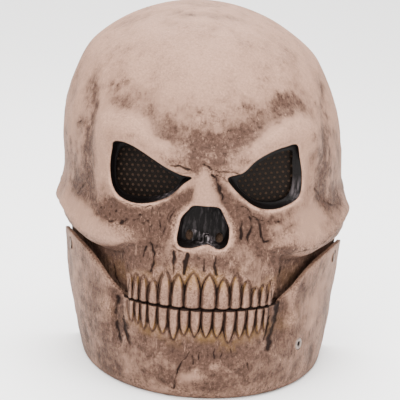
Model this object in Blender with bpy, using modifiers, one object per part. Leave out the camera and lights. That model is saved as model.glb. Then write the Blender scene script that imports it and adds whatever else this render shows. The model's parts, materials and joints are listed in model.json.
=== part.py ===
"""Skull mask: a moulded carnival mask in two shells, the upper skull and a jaw that turns on a hollow
rivet at each side, with perforated sheets behind the eye openings. Metres, +Z up, the face towards -Y,
and the viewer's right at +X. The mask stands on the lower rim of its jaw."""

import math

import bmesh
import bpy
import numpy as np
from mathutils import Matrix, Vector
from mathutils.bvhtree import BVHTree

# Driving sizes
MASK_HEIGHT = 0.256  # from the jaw's lower rim to the crown
MASK_WIDTH = 0.212  # across the temples, before the cheekbones stand out
FACE_SHARE = 0.962  # places across the face are shares of this much of the half width
MASK_DEPTH = 0.147  # from the rear rim to the forehead
CROWN_LEAN = 0.009  # how far the crown leans to the viewer's left
WALL = 0.0026  # the moulded wall
PIECE_GAP = 0.0003  # between pieces that touch on the real mask
JAW_GAP = 0.0020  # between the jaw's branches and the upper shell inside them

# Cast relief
BROW_RISE = 0.0075
BROW_REACH = 0.0120
FROWN_RISE = 0.0035
NASAL_RISE = 0.0080
NASAL_REACH = 0.0095
CHEEK_RISE = 0.0052
CHEEK_REACH = 0.0120
CHEEK_STEP = (-0.0030, 0.0040)  # the cheekbone's lower border rises from below its line to above it
HOLLOW_STEP = (-0.0080, 0.0010)  # and the hollow under it ends between these
TEMPLE_SINK = 0.0020
UPPER_ARCH_RISE = 0.0050  # the tooth arches stand out of the face
LOWER_ARCH_RISE = 0.0038
TOOTH_RISE = 0.0034
CHIN_RISE = 0.0032
HOLLOW_SINK = 0.0040  # the hollow under the cheekbone, beyond what the jaw needs
LAP = 0.0050  # behind the jaw the upper shell's edge lies this much lower than its teeth
LAP_BLEND = 0.0120  # and the wall is drawn down over this height
CORNER_SINK = 0.0028  # the worn grooves that run down from the corners of the mouth
SOCKET_SINK = 0.0068  # from the chord across the face at an eye down to the flat floor of its socket
NOSE_SINK = 0.0120  # from the plain form down to the floor of the nose
RIM_DEPTH = 0.0004  # a socket's or the nose's edge is straight this far before its wall slopes
CAST_SETBACK = (0.0080, 0.0020)  # the inner face is set back behind an outline from this far outside it

# The end of the nose bone, a rounded spine at the foot of the nose: half its width, depth and height
SPINE_HALVES = (0.0030, 0.0052, 0.0060)
SPINE_FORWARD = 0.0032  # from the nose's floor forward to the spine's middle

# Eye and nose openings
SHEET_THICKNESS = 0.0010
SHEET_MARGIN = 0.0028  # a sheet reaches this far past its opening
NOSTRIL_WIDTH = 0.0052
NOSTRIL_HEIGHT = 0.0074

# Hollow rivets
RIVET_BORE = 0.0036
RIVET_BARREL = 0.0050
RIVET_FLANGE = 0.0086
RIVET_FLANGE_THICKNESS = 0.0009
RIVET_SEAT = 0.0005  # the flat that the flange sits on is cut this deep
RIVET_EDGE = 0.4  # the share of a flange's thickness that its outer edge is cut back by
SEAT_CLEARANCE = 0.0003
HINGE_SETBACK = 0.0580  # from the rear rim forward to the jaw's axis
TEMPLE_SETBACK = 0.0150  # from the rear rim forward to the temple eyelets
JAW_EYELET_SETBACK = 0.1045  # from the rear rim forward to the jaw's own eyelet

# How finely curves are cut, and how meshes are finished
OUTLINE_STEPS = 3
RIVET_STEPS = 14
FLANGE_PROBES = 8  # the wall behind a flange is measured at this many places round it
FINE_STEPS = 60  # a table is read this finely between two rows where it's read backwards
SMOOTH_ANGLE = 0.70  # edges sharper than this, in radians, stay sharp
CUT_REACH = 0.0060  # how far a cutter passes the wall that it cuts
MERGE_DISTANCE = 1e-6

HALF_WIDTH = MASK_WIDTH / 2
FACE_HALF = FACE_SHARE * HALF_WIDTH
HALF_TURN = math.pi / 2

# Level sections of the upper shell, from its lower edge to the crown.
# height: share of the mask's height; half_width: share of its half width; depth: share of its depth;
# roundness: the section's superellipse exponent; lean: share of the crown's lean
SKULL_SECTIONS = (
    # height, half_width, depth, roundness, lean
    (0.2540, 0.945, 0.983, 2.00, 0.00),
    (0.3125, 0.958, 0.982, 2.05, 0.00),
    (0.3710, 0.972, 0.976, 2.15, 0.00),
    (0.4300, 0.980, 0.962, 2.25, 0.12),
    (0.4880, 0.978, 0.945, 2.30, 0.22),
    (0.5470, 0.978, 0.943, 2.30, 0.33),
    (0.6050, 0.979, 0.952, 2.28, 0.44),
    (0.6640, 0.969, 0.952, 2.22, 0.56),
    (0.7230, 0.942, 0.939, 2.14, 0.67),
    (0.7810, 0.896, 0.912, 2.05, 0.76),
    (0.8320, 0.829, 0.867, 2.05, 0.84),
    (0.8790, 0.737, 0.803, 2.05, 0.93),
    (0.9220, 0.607, 0.714, 2.05, 1.00),
    (0.9570, 0.462, 0.599, 2.05, 1.00),
    (0.9820, 0.302, 0.449, 2.05, 1.00),
    (0.9960, 0.150, 0.272, 2.05, 1.00),
    (1.0000, 0.000, 0.000, 2.05, 1.00),
)

# Level sections of the jaw, from its lower rim up, in the same shares
JAW_SECTIONS = (
    # height, half_width, depth, roundness, lean
    (0.000, 0.840, 0.958, 2.10, -0.26),
    (0.014, 0.849, 0.983, 2.10, -0.26),
    (0.039, 0.860, 1.000, 2.10, -0.24),
    (0.086, 0.881, 1.010, 2.08, -0.18),
    (0.137, 0.907, 1.008, 2.05, -0.10),
    (0.195, 0.930, 0.994, 2.02, 0.00),
    (0.254, 0.945, 0.983, 2.00, 0.00),
    (0.312, 0.958, 0.982, 2.05, 0.00),
    (0.371, 0.972, 0.976, 2.15, 0.00),
)

# The jaw's upper edge, from the middle of the mouth round to the rear rim.
# turn: share of the quarter turn from the face to the side; height: share of the mask's height
JAW_EDGE = (
    # turn, height
    (0.000, 0.2515),
    (0.340, 0.2515),
    (0.375, 0.2555),
    (0.420, 0.2780),
    (0.470, 0.308),
    (0.520, 0.331),
    (0.580, 0.348),
    (0.660, 0.358),
    (0.740, 0.361),
    (0.820, 0.356),
    (0.880, 0.347),
    (0.940, 0.328),
    (1.000, 0.300),
)

# Where relief grows and fades. Across: shares of the face's half width; up: shares of the height;
# turn: shares of the quarter turn from the face to the side
BROW_END_ACROSS = (0.62, 0.85)
BROW_DIP_ACROSS = (0.02, 0.18)
BROW_DIP = 0.45  # what is left of the brow's rise in the middle of the face
BROW_LIFT = 0.5  # the brow is highest this share of its reach above its line
FROWN_ACROSS = 0.16
FROWN_UP = 0.632
FROWN_TALL = 0.050
NASAL_GROWTH_UP = (0.64, 0.53)
NASAL_START = 0.25  # the share of the nose bone's rise that it starts with
NASAL_TOP_UP = (0.66, 0.60)
NASAL_END_UP = (0.44, 0.50)
CHEEK_START_ACROSS = (0.34, 0.58)
CHEEK_END_TURN = (1.00, 0.86)
CHEEK_LIFTS = (0.75, -0.05)  # the cheekbone is highest these shares of its reach above its line,
CHEEK_LIFTS_ACROSS = (0.70, 0.95)  # in front and at the side
TEMPLE_START_ACROSS = (0.70, 0.80)
TEMPLE_START_UP = (0.46, 0.53)
TEMPLE_END_UP = (0.88, 0.78)
ARCH_ACROSS = 0.50
UPPER_ARCH_UP = 0.315
UPPER_ARCH_TALL = 0.115
LOWER_ARCH_UP = 0.240
LOWER_ARCH_TALL = 0.080
HOLLOW_START_TURN = (0.316, 0.336)
HOLLOW_END_TURN = (0.78, 0.58)
LAP_START_TURN = (0.336, 0.360)
LAP_END_TURN = (0.77, 0.56)
CHIN_MIDDLE = (0.05, 0.09)  # across, up
CHIN_SPREAD = (0.36, 0.060)
CORNER_ACROSS = 0.555
CORNER_SPREAD = 0.055
CORNER_START_UP = (0.09, 0.17)

# Teeth: how far they narrow towards the root, and where along their height that and their fading happen
ROOT_NARROWING = 0.3
NARROWING_ALONG = (0.4, 1.1)
FADING_ALONG = (1.1, 0.8)

# Lines and outlines on the face, seen from the front.
# across: share of the face's half width from the middle plane; up: share of the height
BROW_LINE = (
    # across, up
    (0.00, 0.606),
    (0.10, 0.604),
    (0.20, 0.610),
    (0.30, 0.634),
    (0.40, 0.657),
    (0.50, 0.671),
    (0.60, 0.674),
    (0.72, 0.655),
    (0.85, 0.615),
)
CHEEK_LINE = (
    # across, up: the lower border of the cheekbone
    (0.40, 0.400),
    (0.50, 0.396),
    (0.60, 0.386),
    (0.70, 0.378),
    (0.78, 0.386),
    (0.86, 0.404),
    (0.94, 0.424),
    (1.04, 0.436),
)
HOLLOW_LINE = (
    # across, up: where the hollow under the cheekbone ends, as the jaw's edge does at the sides
    (0.40, 0.400),
    (0.50, 0.396),
    (0.60, 0.386),
    (0.70, 0.378),
    (0.78, 0.380),
    (0.86, 0.386),
    (0.94, 0.390),
    (1.04, 0.390),
)
LEFT_SOCKET = (
    # across, up
    (-0.613, 0.669),
    (-0.540, 0.672),
    (-0.452, 0.661),
    (-0.350, 0.640),
    (-0.262, 0.621),
    (-0.162, 0.605),
    (-0.092, 0.599),
    (-0.139, 0.580),
    (-0.220, 0.544),
    (-0.310, 0.523),
    (-0.396, 0.513),
    (-0.490, 0.512),
    (-0.572, 0.524),
    (-0.615, 0.548),
    (-0.632, 0.580),
    (-0.635, 0.612),
    (-0.625, 0.647),
)
RIGHT_SOCKET = (
    # across, up
    (0.143, 0.602),
    (0.239, 0.616),
    (0.319, 0.647),
    (0.409, 0.667),
    (0.506, 0.679),
    (0.585, 0.681),
    (0.611, 0.646),
    (0.636, 0.590),
    (0.625, 0.538),
    (0.530, 0.516),
    (0.431, 0.510),
    (0.337, 0.519),
    (0.255, 0.542),
    (0.186, 0.569),
)
LEFT_OPENING = (
    # across, up
    (-0.580, 0.640),
    (-0.536, 0.653),
    (-0.456, 0.643),
    (-0.374, 0.626),
    (-0.285, 0.604),
    (-0.205, 0.590),
    (-0.168, 0.578),
    (-0.182, 0.562),
    (-0.224, 0.544),
    (-0.295, 0.530),
    (-0.375, 0.521),
    (-0.448, 0.518),
    (-0.510, 0.520),
    (-0.556, 0.529),
    (-0.585, 0.545),
    (-0.597, 0.573),
    (-0.597, 0.610),
)
RIGHT_OPENING = (
    # across, up
    (0.206, 0.587),
    (0.252, 0.599),
    (0.330, 0.626),
    (0.420, 0.647),
    (0.512, 0.659),
    (0.560, 0.657),
    (0.567, 0.625),
    (0.574, 0.591),
    (0.568, 0.556),
    (0.540, 0.536),
    (0.487, 0.525),
    (0.406, 0.522),
    (0.325, 0.530),
    (0.262, 0.546),
    (0.212, 0.567),
)
NOSE_OUTLINE = (
    # across, up
    (-0.068, 0.523),
    (0.023, 0.525),
    (0.095, 0.518),
    (0.123, 0.502),
    (0.148, 0.482),
    (0.168, 0.462),
    (0.170, 0.440),
    (0.155, 0.420),
    (0.105, 0.411),
    (0.030, 0.422),
    (-0.070, 0.412),
    (-0.145, 0.413),
    (-0.170, 0.430),
    (-0.160, 0.462),
    (-0.147, 0.486),
    (-0.110, 0.506),
)
NOSTRILS = (
    # across, up
    (-0.091, 0.432),
    (0.108, 0.428),
)
SPINE_PLACE = (0.026, 0.420)
NOSE_NARROWING = 0.83  # the nose's floor against its outline
SOCKET_FLOOR_SHARE = 0.15  # a socket's floor passes its opening by this share of the way to its outline
NOSE_SHEET = (
    # across, up
    (-0.175, 0.412),
    (0.185, 0.408),
    (0.185, 0.452),
    (-0.175, 0.456),
)

# The chord that an eye's floor lies behind: its height and both ends, as shares
SOCKET_UP = 0.600
SOCKET_ENDS = (0.12, 0.64)

# Rivet heights as shares of the mask's height
HINGE_UP = 0.3260
LEFT_TEMPLE_UP = 0.466
RIGHT_TEMPLE_UP = 0.499
JAW_EYELET_UP = 0.121

# Teeth, from the viewer's left. Each row starts a tooth: across is its left side, as a share of the
# half width, and root the height at which its root fades, as a share of the mask's height. The last
# row closes the arch.
UPPER_TEETH = (
    # across, root
    (-0.475, 0.324),
    (-0.438, 0.326),
    (-0.393, 0.326),
    (-0.334, 0.320),
    (-0.263, 0.349),
    (-0.184, 0.341),
    (-0.100, 0.349),
    (0.004, 0.346),
    (0.104, 0.336),
    (0.188, 0.348),
    (0.260, 0.330),
    (0.325, 0.310),
    (0.383, 0.316),
    (0.435, 0.324),
    (0.471, 0.324),
)
LOWER_TEETH = (
    # across, root
    (-0.466, 0.190),
    (-0.422, 0.189),
    (-0.382, 0.178),
    (-0.333, 0.177),
    (-0.267, 0.176),
    (-0.194, 0.163),
    (-0.125, 0.179),
    (-0.059, 0.177),
    (0.014, 0.176),
    (0.086, 0.175),
    (0.159, 0.160),
    (0.235, 0.172),
    (0.304, 0.172),
    (0.366, 0.180),
    (0.416, 0.182),
    (0.456, 0.182),
)
LOWER_TOP = 0.2515  # height of the lower teeth's edges, as a share of the mask's height

# Where the coarse grid has its levels: heights as shares of the mask's height
SKULL_LEVELS = (
    0.272, 0.300, 0.330, 0.348, 0.366, 0.384, 0.400, 0.416, 0.434, 0.454, 0.476, 0.500, 0.524, 0.549,
    0.574, 0.598, 0.620, 0.640, 0.658, 0.676, 0.697, 0.730, 0.772, 0.820, 0.868, 0.912, 0.950, 0.982,
)
JAW_LEVELS = (0.0, 0.06, 0.16, 0.28, 0.44, 0.57, 0.65, 0.71, 0.79, 0.88, 0.96, 1.0)
SIDE_TURNS = (0.336, 0.36, 0.40, 0.47, 0.56, 0.66, 0.77, 0.87, 0.94, 1.00)

# Finishes: base colour, roughness, metallic
FINISHES = {
    "bone": ((0.55, 0.43, 0.34), 0.62, 0.0),
    "mesh": ((0.020, 0.016, 0.013), 0.55, 0.0),
    "gauze": ((0.10, 0.065, 0.035), 0.85, 0.0),
    "rivet": ((0.52, 0.50, 0.44), 0.42, 0.6),
}


# Curves and eased steps
def read_smoothly(table, position, mirrored_end=False):
    """Rows of a table read along a smooth curve through them, at positions counted in rows."""
    rows = np.array(table, float)
    before = 2 * rows[0] - rows[1]
    after = 2 * rows[-1] - rows[-2]
    if mirrored_end:
        after = rows[-2] * np.array((1, -1, -1, 1, 1))
    rows = np.vstack((before, rows, after))
    position = np.clip(position, 0, len(table) - 1)
    first = np.minimum(position.astype(int), len(table) - 2)
    part = (position - first)[..., None]
    a, b, c, d = (rows[first + step] for step in range(4))
    bend = part * (2 * a - 5 * b + 4 * c - d + part * (3 * b - 3 * c + d - a))
    return b + 0.5 * part * (c - a + bend)


def line_height(line, across):
    """Height of a line on the face at a place across it, read smoothly, as shares."""
    fine = read_smoothly(line, np.linspace(0, len(line) - 1, FINE_STEPS * len(line)))
    return np.interp(across, fine[:, 0], fine[:, 1])


def closed_curve(outline, steps):
    """A closed outline with further points between its own, on a smooth curve through them."""
    points = np.array(outline, float)
    around = [np.roll(points, shift, axis=0) for shift in (1, 0, -1, -2)]
    curve = []
    for step in range(steps):
        part = step / steps
        a, b, c, d = around
        bend = part * (2 * a - 5 * b + 4 * c - d + part * (3 * b - 3 * c + d - a))
        curve.append(b + 0.5 * part * (c - a + bend))
    return np.stack(curve, axis=1).reshape(-1, 2)


def on_face(outline, steps=OUTLINE_STEPS):
    """An outline of shares as places across and up, in metres."""
    return closed_curve(outline, steps) * (FACE_HALF, MASK_HEIGHT)


def eased(value, start, end):
    """0 at the start and 1 at the end, with a soft step between."""
    part = np.clip((value - start) / (end - start), 0, 1)
    return part * part * (3 - 2 * part)


def bell(distance, reach):
    return np.exp(-((distance / reach) ** 2))


def beside_outline(outline, x, z):
    """Distance outside a closed outline, negative inside it, and the nearest place on it."""
    nearest = np.full(x.shape, np.inf)
    near_x, near_z = x.copy(), z.copy()
    inside = np.zeros(x.shape, bool)
    for (ax, az), (bx, bz) in zip(outline, np.roll(outline, -1, axis=0)):
        run_x, run_z = bx - ax, bz - az
        part = np.clip(((x - ax) * run_x + (z - az) * run_z) / (run_x**2 + run_z**2), 0, 1)
        on_x, on_z = ax + part * run_x, az + part * run_z
        distance = np.hypot(x - on_x, z - on_z)
        closer = distance < nearest
        nearest = np.where(closer, distance, nearest)
        near_x = np.where(closer, on_x, near_x)
        near_z = np.where(closer, on_z, near_z)
        if az != bz:
            inside ^= ((az > z) != (bz > z)) & (x < ax + run_x * (z - az) / run_z)
    return np.where(inside, -nearest, nearest), near_x, near_z


# The plain form, before its relief
def place_section(section, turn):
    """Points of a level section at signed turns, -1 and 1 at the rear rim, as x, forward and z."""
    height, half_width, depth, roundness, lean = np.moveaxis(section, -1, 0)
    angle = turn * HALF_TURN
    side = np.abs(np.sin(angle)) ** (2 / roundness) * np.sign(turn)
    forward = np.maximum(np.cos(angle), 0) ** (2 / roundness)
    x = half_width * HALF_WIDTH * side - lean * CROWN_LEAN
    return np.stack((x, -depth * MASK_DEPTH * forward, height * MASK_HEIGHT), axis=-1)


def normals_of(points):
    """Unit normals of a grid of points, outwards; rows run up and columns from left to right."""
    across = np.gradient(points, axis=1)
    up = np.gradient(points, axis=0)
    normal = np.cross(across, up)
    length = np.linalg.norm(normal, axis=-1, keepdims=True)
    return normal / np.maximum(length, 1e-12)


def turn_at(x, section):
    """The signed turn at which a level section reaches a place across the face."""
    _, half_width, _, roundness, lean = np.moveaxis(section, -1, 0)
    across = (x + lean * CROWN_LEAN) / np.maximum(half_width * HALF_WIDTH, 1e-9)
    return np.sign(across) * np.arcsin(np.clip(np.abs(across), 0, 1) ** (roundness / 2)) / HALF_TURN


def position_at(up):
    """The row position in the upper shell's table at which a height, as a share, is reached."""
    fine = np.linspace(0, len(SKULL_SECTIONS) - 1, FINE_STEPS * len(SKULL_SECTIONS))
    return np.interp(up, read_smoothly(SKULL_SECTIONS, fine, True)[:, 0], fine)


def tooth_relief(teeth, x, z, edge):
    """Cast teeth: 1 along the middle of each crown, 0 in the grooves and past the roots."""
    relief = np.zeros(x.shape)
    for (left, root), (right, _) in zip(teeth, teeth[1:]):
        middle = (left + right) / 2 * FACE_HALF
        half = (right - left) / 2 * FACE_HALF
        along = (z - edge) / (root * MASK_HEIGHT - edge)
        narrowing = 1 - ROOT_NARROWING * eased(along, *NARROWING_ALONG)
        across = np.abs(x - middle) / (half * narrowing)
        crown = np.clip(1 - across**3, 0, 1) * eased(along, *FADING_ALONG)
        relief = np.maximum(relief, crown)
    return relief


def flatten_rear(outer, inner):
    """Lays the rear rim of a shell in one plane."""
    for face in (outer, inner):
        face[:, (0, -1), 1] = 0


# The upper shell
def soft_relief(x, z, turn):
    """Relief that both faces of the upper shell follow, measured outwards."""
    across = np.abs(x) / FACE_HALF
    up = z / MASK_HEIGHT
    above_brow = z - line_height(BROW_LINE, across) * MASK_HEIGHT
    above_cheek = z - line_height(CHEEK_LINE, across) * MASK_HEIGHT
    above_hollow = z - line_height(HOLLOW_LINE, across) * MASK_HEIGHT
    brow = bell(above_brow - BROW_LIFT * BROW_REACH, BROW_REACH) * (1 - eased(across, *BROW_END_ACROSS))
    brow *= BROW_DIP + (1 - BROW_DIP) * eased(across, *BROW_DIP_ACROSS)
    frown = bell(across, FROWN_ACROSS) * bell(up - FROWN_UP, FROWN_TALL)
    nasal = NASAL_START + (1 - NASAL_START) * eased(up, *NASAL_GROWTH_UP)
    nasal *= eased(up, *NASAL_END_UP) * eased(up, *NASAL_TOP_UP) * bell(x, NASAL_REACH)
    front_lift, side_lift = CHEEK_LIFTS
    lift = front_lift + (side_lift - front_lift) * eased(across, *CHEEK_LIFTS_ACROSS)
    cheek = bell(above_cheek - lift * CHEEK_REACH, CHEEK_REACH) * eased(above_cheek, *CHEEK_STEP)
    cheek *= eased(across, *CHEEK_START_ACROSS) * eased(np.abs(turn), *CHEEK_END_TURN)
    temple = eased(across, *TEMPLE_START_ACROSS)
    temple *= eased(up, *TEMPLE_START_UP) * eased(up, *TEMPLE_END_UP)
    hollow = (1 - eased(above_hollow, *HOLLOW_STEP)) * eased(np.abs(turn), *HOLLOW_START_TURN)
    arch = bell(across, ARCH_ACROSS) * bell(up - UPPER_ARCH_UP, UPPER_ARCH_TALL) * (1 - hollow)
    rise = BROW_RISE * brow + FROWN_RISE * frown + NASAL_RISE * nasal + CHEEK_RISE * cheek
    rise += UPPER_ARCH_RISE * arch - TEMPLE_SINK * temple
    return rise - (WALL + JAW_GAP + HOLLOW_SINK * eased(np.abs(turn), *HOLLOW_END_TURN)) * hollow


def socket_floor(places):
    """Place in y of an eye socket's flat floor, behind the chord across the face, at places in x and z."""
    _, half_width, depth, roundness, _ = read_smoothly(SKULL_SECTIONS, position_at(SOCKET_UP), True)
    ends = np.array(SOCKET_ENDS) * FACE_SHARE / half_width
    inner_y, outer_y = -depth * MASK_DEPTH * (1 - ends**roundness) ** (1 / roundness)
    along = (np.abs(places[..., 0]) / (half_width * HALF_WIDTH) - ends[0]) / (ends[1] - ends[0])
    return inner_y + SOCKET_SINK + along * (outer_y - inner_y)


def nose_floor(places):
    """Place in y of the flat floor of the nose at places in x and z."""
    ends = np.array([min(up for _, up in NOSE_OUTLINE), max(up for _, up in NOSE_OUTLINE)])
    low, high = NOSE_SINK - read_smoothly(SKULL_SECTIONS, position_at(ends), True)[:, 2] * MASK_DEPTH
    along = (places[..., 1] / MASK_HEIGHT - ends[0]) / (ends[1] - ends[0])
    return low + along * (high - low)


def skull_faces(turn, position):
    """The outer and the inner face of the upper shell on a grid of turns and table positions. The sockets
    and the nose are cut from the front later, and here the inner face is set back behind their floors."""
    turn, position = np.broadcast_arrays(turn[None, :], position[:, None])
    plain = place_section(read_smoothly(SKULL_SECTIONS, position, True), turn)
    normal = normals_of(plain)
    normal[-1] = (0, 0, 1)  # the crown's point has no other
    x, z = plain[..., 0], plain[..., 2]
    outer = plain + normal * soft_relief(x, z, turn)[..., None]
    inner = outer - normal * WALL
    inner[..., 1] = np.minimum(inner[..., 1], 0)
    edge = SKULL_SECTIONS[0][0] * MASK_HEIGHT
    outer[..., 1] -= TOOTH_RISE * tooth_relief(UPPER_TEETH, x, z, edge)
    lap = LAP * eased(np.abs(turn), *LAP_START_TURN) * eased(np.abs(turn), *LAP_END_TURN)
    lap *= 1 - eased(z, edge, edge + LAP_BLEND)
    casts = ((LEFT_SOCKET, socket_floor), (RIGHT_SOCKET, socket_floor), (NOSE_OUTLINE, nose_floor))
    for outline, floor in casts:
        outside, _, _ = beside_outline(on_face(outline), x, z)
        behind = floor(inner[..., (0, 2)]) + WALL - inner[..., 1]
        inner[..., 1] += eased(outside, *CAST_SETBACK) * np.maximum(behind, 0)
    for face in (outer, inner):
        face[..., 2] -= lap
    flatten_rear(outer, inner)
    return outer, inner


def jaw_faces(turn, level):
    """The outer and the inner face of the jaw, on a grid of turns and shares of its local height."""
    turn, level = np.broadcast_arrays(turn[None, :], level[:, None])
    height = level * line_height(JAW_EDGE, np.abs(turn))
    count = len(JAW_SECTIONS)
    fine = read_smoothly(JAW_SECTIONS, np.linspace(0, count - 1, FINE_STEPS * count))
    section = np.stack([np.interp(height, fine[:, 0], column) for column in fine.T], axis=-1)
    plain = place_section(section, turn)
    normal = normals_of(plain)
    x, z = plain[..., 0], plain[..., 2]
    across, up = x / FACE_HALF, z / MASK_HEIGHT
    arch = bell(across, ARCH_ACROSS) * bell(up - LOWER_ARCH_UP, LOWER_ARCH_TALL)
    chin = bell(across - CHIN_MIDDLE[0], CHIN_SPREAD[0]) * bell(up - CHIN_MIDDLE[1], CHIN_SPREAD[1])
    corner = bell(np.abs(across) - CORNER_ACROSS, CORNER_SPREAD) * eased(up, *CORNER_START_UP)
    rise = LOWER_ARCH_RISE * arch + CHIN_RISE * chin - CORNER_SINK * corner
    outer = plain + normal * rise[..., None]
    inner = outer - normal * WALL
    inner[..., 1] = np.minimum(inner[..., 1], 0)
    outer[..., 1] -= TOOTH_RISE * tooth_relief(LOWER_TEETH, x, z, LOWER_TOP * MASK_HEIGHT)
    inner[0, :, 2] = 0
    outer[0, :, 2] = 0
    flatten_rear(outer, inner)
    return outer, inner


# Building meshes
def new_collection(name):
    collection = bpy.data.collections.new(name)
    bpy.context.scene.collection.children.link(collection)
    return collection


def clear_scene():
    for obj in list(bpy.data.objects):
        bpy.data.objects.remove(obj)


def finish(name):
    colour, roughness, metallic = FINISHES[name]
    material = bpy.data.materials.new(name)
    material.use_nodes = True
    shader = material.node_tree.nodes["Principled BSDF"]
    shader.inputs["Base Color"].default_value = (*colour, 1)
    shader.inputs["Roughness"].default_value = roughness
    shader.inputs["Metallic"].default_value = metallic
    material.diffuse_color = (*colour, 1)
    return material


def add_object(name, mesh, collection, material=None):
    obj = bpy.data.objects.new(name, mesh)
    collection.objects.link(obj)
    if material:
        mesh.materials.append(material)
    return obj


def tidied(mesh):
    """A mesh with its doubled points joined and its faces turned outwards."""
    work = bmesh.new()
    work.from_mesh(mesh)
    bmesh.ops.remove_doubles(work, verts=work.verts, dist=MERGE_DISTANCE)
    bmesh.ops.dissolve_degenerate(work, dist=MERGE_DISTANCE, edges=work.edges)
    bmesh.ops.recalc_face_normals(work, faces=work.faces)
    work.to_mesh(mesh)
    work.free()
    mesh.shade_smooth()
    mesh.set_sharp_from_angle(angle=SMOOTH_ANGLE)
    return mesh


def shell_mesh(name, outer, inner, closed_top):
    """A wall between two grids of points, closed along its edges. A closed top is a pole."""
    rows, columns = outer.shape[:2]
    index = np.arange(rows * columns).reshape(rows, columns)
    behind = index + rows * columns
    faces = []
    for row in range(rows - 1):
        for column in range(columns - 1):
            around = (row, column), (row, column + 1), (row + 1, column + 1), (row + 1, column)
            faces.append([index[place] for place in around])
            faces.append([behind[place] for place in reversed(around)])
    edges = [(index[0], behind[0]), (index[:, 0], behind[:, 0]), (index[:, -1], behind[:, -1])]
    if not closed_top:
        edges.append((index[-1], behind[-1]))
    for front, back in edges:
        faces += [list(corners) for corners in zip(front, front[1:], back[1:], back)]
    mesh = bpy.data.meshes.new(name)
    points = np.concatenate((outer.reshape(-1, 3), inner.reshape(-1, 3)))
    mesh.from_pydata(points.tolist(), [], faces)
    return tidied(mesh)


def loft_mesh(name, rings):
    """A plate or cutter through rings of equally many points, capped at both ends."""
    count = len(rings[0])
    last = (len(rings) - 1) * count
    faces = [list(range(count)), list(range(last, last + count))]
    for start in range(0, last, count):
        for step in range(count):
            following = (step + 1) % count
            corners = (step, following, count + following, count + step)
            faces.append([start + corner for corner in corners])
    mesh = bpy.data.meshes.new(name)
    mesh.from_pydata(np.concatenate(rings).tolist(), [], faces)
    return tidied(mesh)


def ring_at(places, depth):
    """An outline seen from the front as points at a depth, one for all or one for each."""
    return np.stack((places[:, 0], np.broadcast_to(depth, len(places)), places[:, 1]), axis=1)


def grown(outline, margin):
    """A closed outline moved outwards by a margin."""
    points = np.array(outline, float)
    tangent = np.roll(points, -1, axis=0) - np.roll(points, 1, axis=0)
    normal = np.stack((tangent[:, 1], -tangent[:, 0]), axis=1)
    normal /= np.linalg.norm(normal, axis=1, keepdims=True)
    area = np.sum(points[:, 0] * np.roll(points[:, 1], -1) - points[:, 1] * np.roll(points[:, 0], -1))
    return points + normal * margin * np.sign(area)


def combine(obj, other, operation="DIFFERENCE"):
    modifier = obj.modifiers.new(f"{operation.title()} {other.name}", "BOOLEAN")
    modifier.operation = operation
    modifier.solver = "EXACT"
    modifier.object = other


def add_cutter(name, mesh, collection):
    cutter = add_object(name, mesh, collection)
    cutter.hide_render = True
    cutter.display_type = "WIRE"
    return cutter


def rod_mesh(name, radius, bottom, top):
    """A cylinder along Z between two heights."""
    mesh = bpy.data.meshes.new(name)
    work = bmesh.new()
    middle = Matrix.Translation((0, 0, (bottom + top) / 2))
    bmesh.ops.create_cone(
        work,
        cap_ends=True,
        segments=RIVET_STEPS,
        radius1=radius,
        radius2=radius,
        depth=top - bottom,
        matrix=middle,
    )
    work.to_mesh(mesh)
    work.free()
    return mesh


def rivet_profile(stack):
    """Half section of a hollow rivet round Z, its outer seat at 0 and its inner seat at -stack."""
    bore, barrel, flange = RIVET_BORE / 2, RIVET_BARREL / 2, RIVET_FLANGE / 2
    top = PIECE_GAP + RIVET_FLANGE_THICKNESS
    low = -stack - PIECE_GAP
    bottom = low - RIVET_FLANGE_THICKNESS
    rounding = RIVET_EDGE * RIVET_FLANGE_THICKNESS
    return (
        (bore, top),
        (flange - rounding, top),
        (flange, top - rounding),
        (flange, PIECE_GAP),
        (barrel, PIECE_GAP),
        (barrel, low),
        (flange, low),
        (flange, bottom),
        (bore, bottom),
    )


def add_rivet(name, frame, stack, collection, material):
    profile = rivet_profile(stack)
    mesh = bpy.data.meshes.new(name)
    edges = [(i, (i + 1) % len(profile)) for i in range(len(profile))]
    mesh.from_pydata([(radius, 0, height) for radius, height in profile], edges, [])
    obj = add_object(name, mesh, collection, material)
    screw = obj.modifiers.new("Turn", "SCREW")
    screw.axis = "Z"
    screw.angle = 2 * math.pi
    screw.steps = RIVET_STEPS
    screw.render_steps = RIVET_STEPS
    screw.use_merge_vertices = True
    screw.merge_threshold = MERGE_DISTANCE
    screw.use_smooth_shade = True
    obj.matrix_world = frame
    return obj


def frame_at(point, outwards):
    """A frame at a point, with its Z along a direction."""
    return Matrix.Translation(point) @ Vector(outwards).to_track_quat("Z", "Y").to_matrix().to_4x4()


def tree_of(mesh):
    return BVHTree.FromPolygons([v.co for v in mesh.vertices], [p.vertices for p in mesh.polygons])


def hits(tree, start, direction):
    """Distances at which a ray meets a mesh."""
    found = []
    travelled = 0.0
    while True:
        point, _, _, distance = tree.ray_cast(start + direction * travelled, direction)
        if point is None:
            return found
        travelled += distance
        found.append(travelled)
        travelled += MERGE_DISTANCE


def far_side(tree, start, direction, across):
    """How far along a ray the inside of a wall lies, over a flange's width round the ray."""
    side = direction.orthogonal().normalized()
    ends = [hits(tree, start, direction)[1]]
    for step in range(FLANGE_PROBES):
        turned = Matrix.Rotation(2 * math.pi * step / FLANGE_PROBES, 3, direction) @ side
        ends.append(hits(tree, start + turned * across, direction)[1])
    return max(ends)


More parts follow.
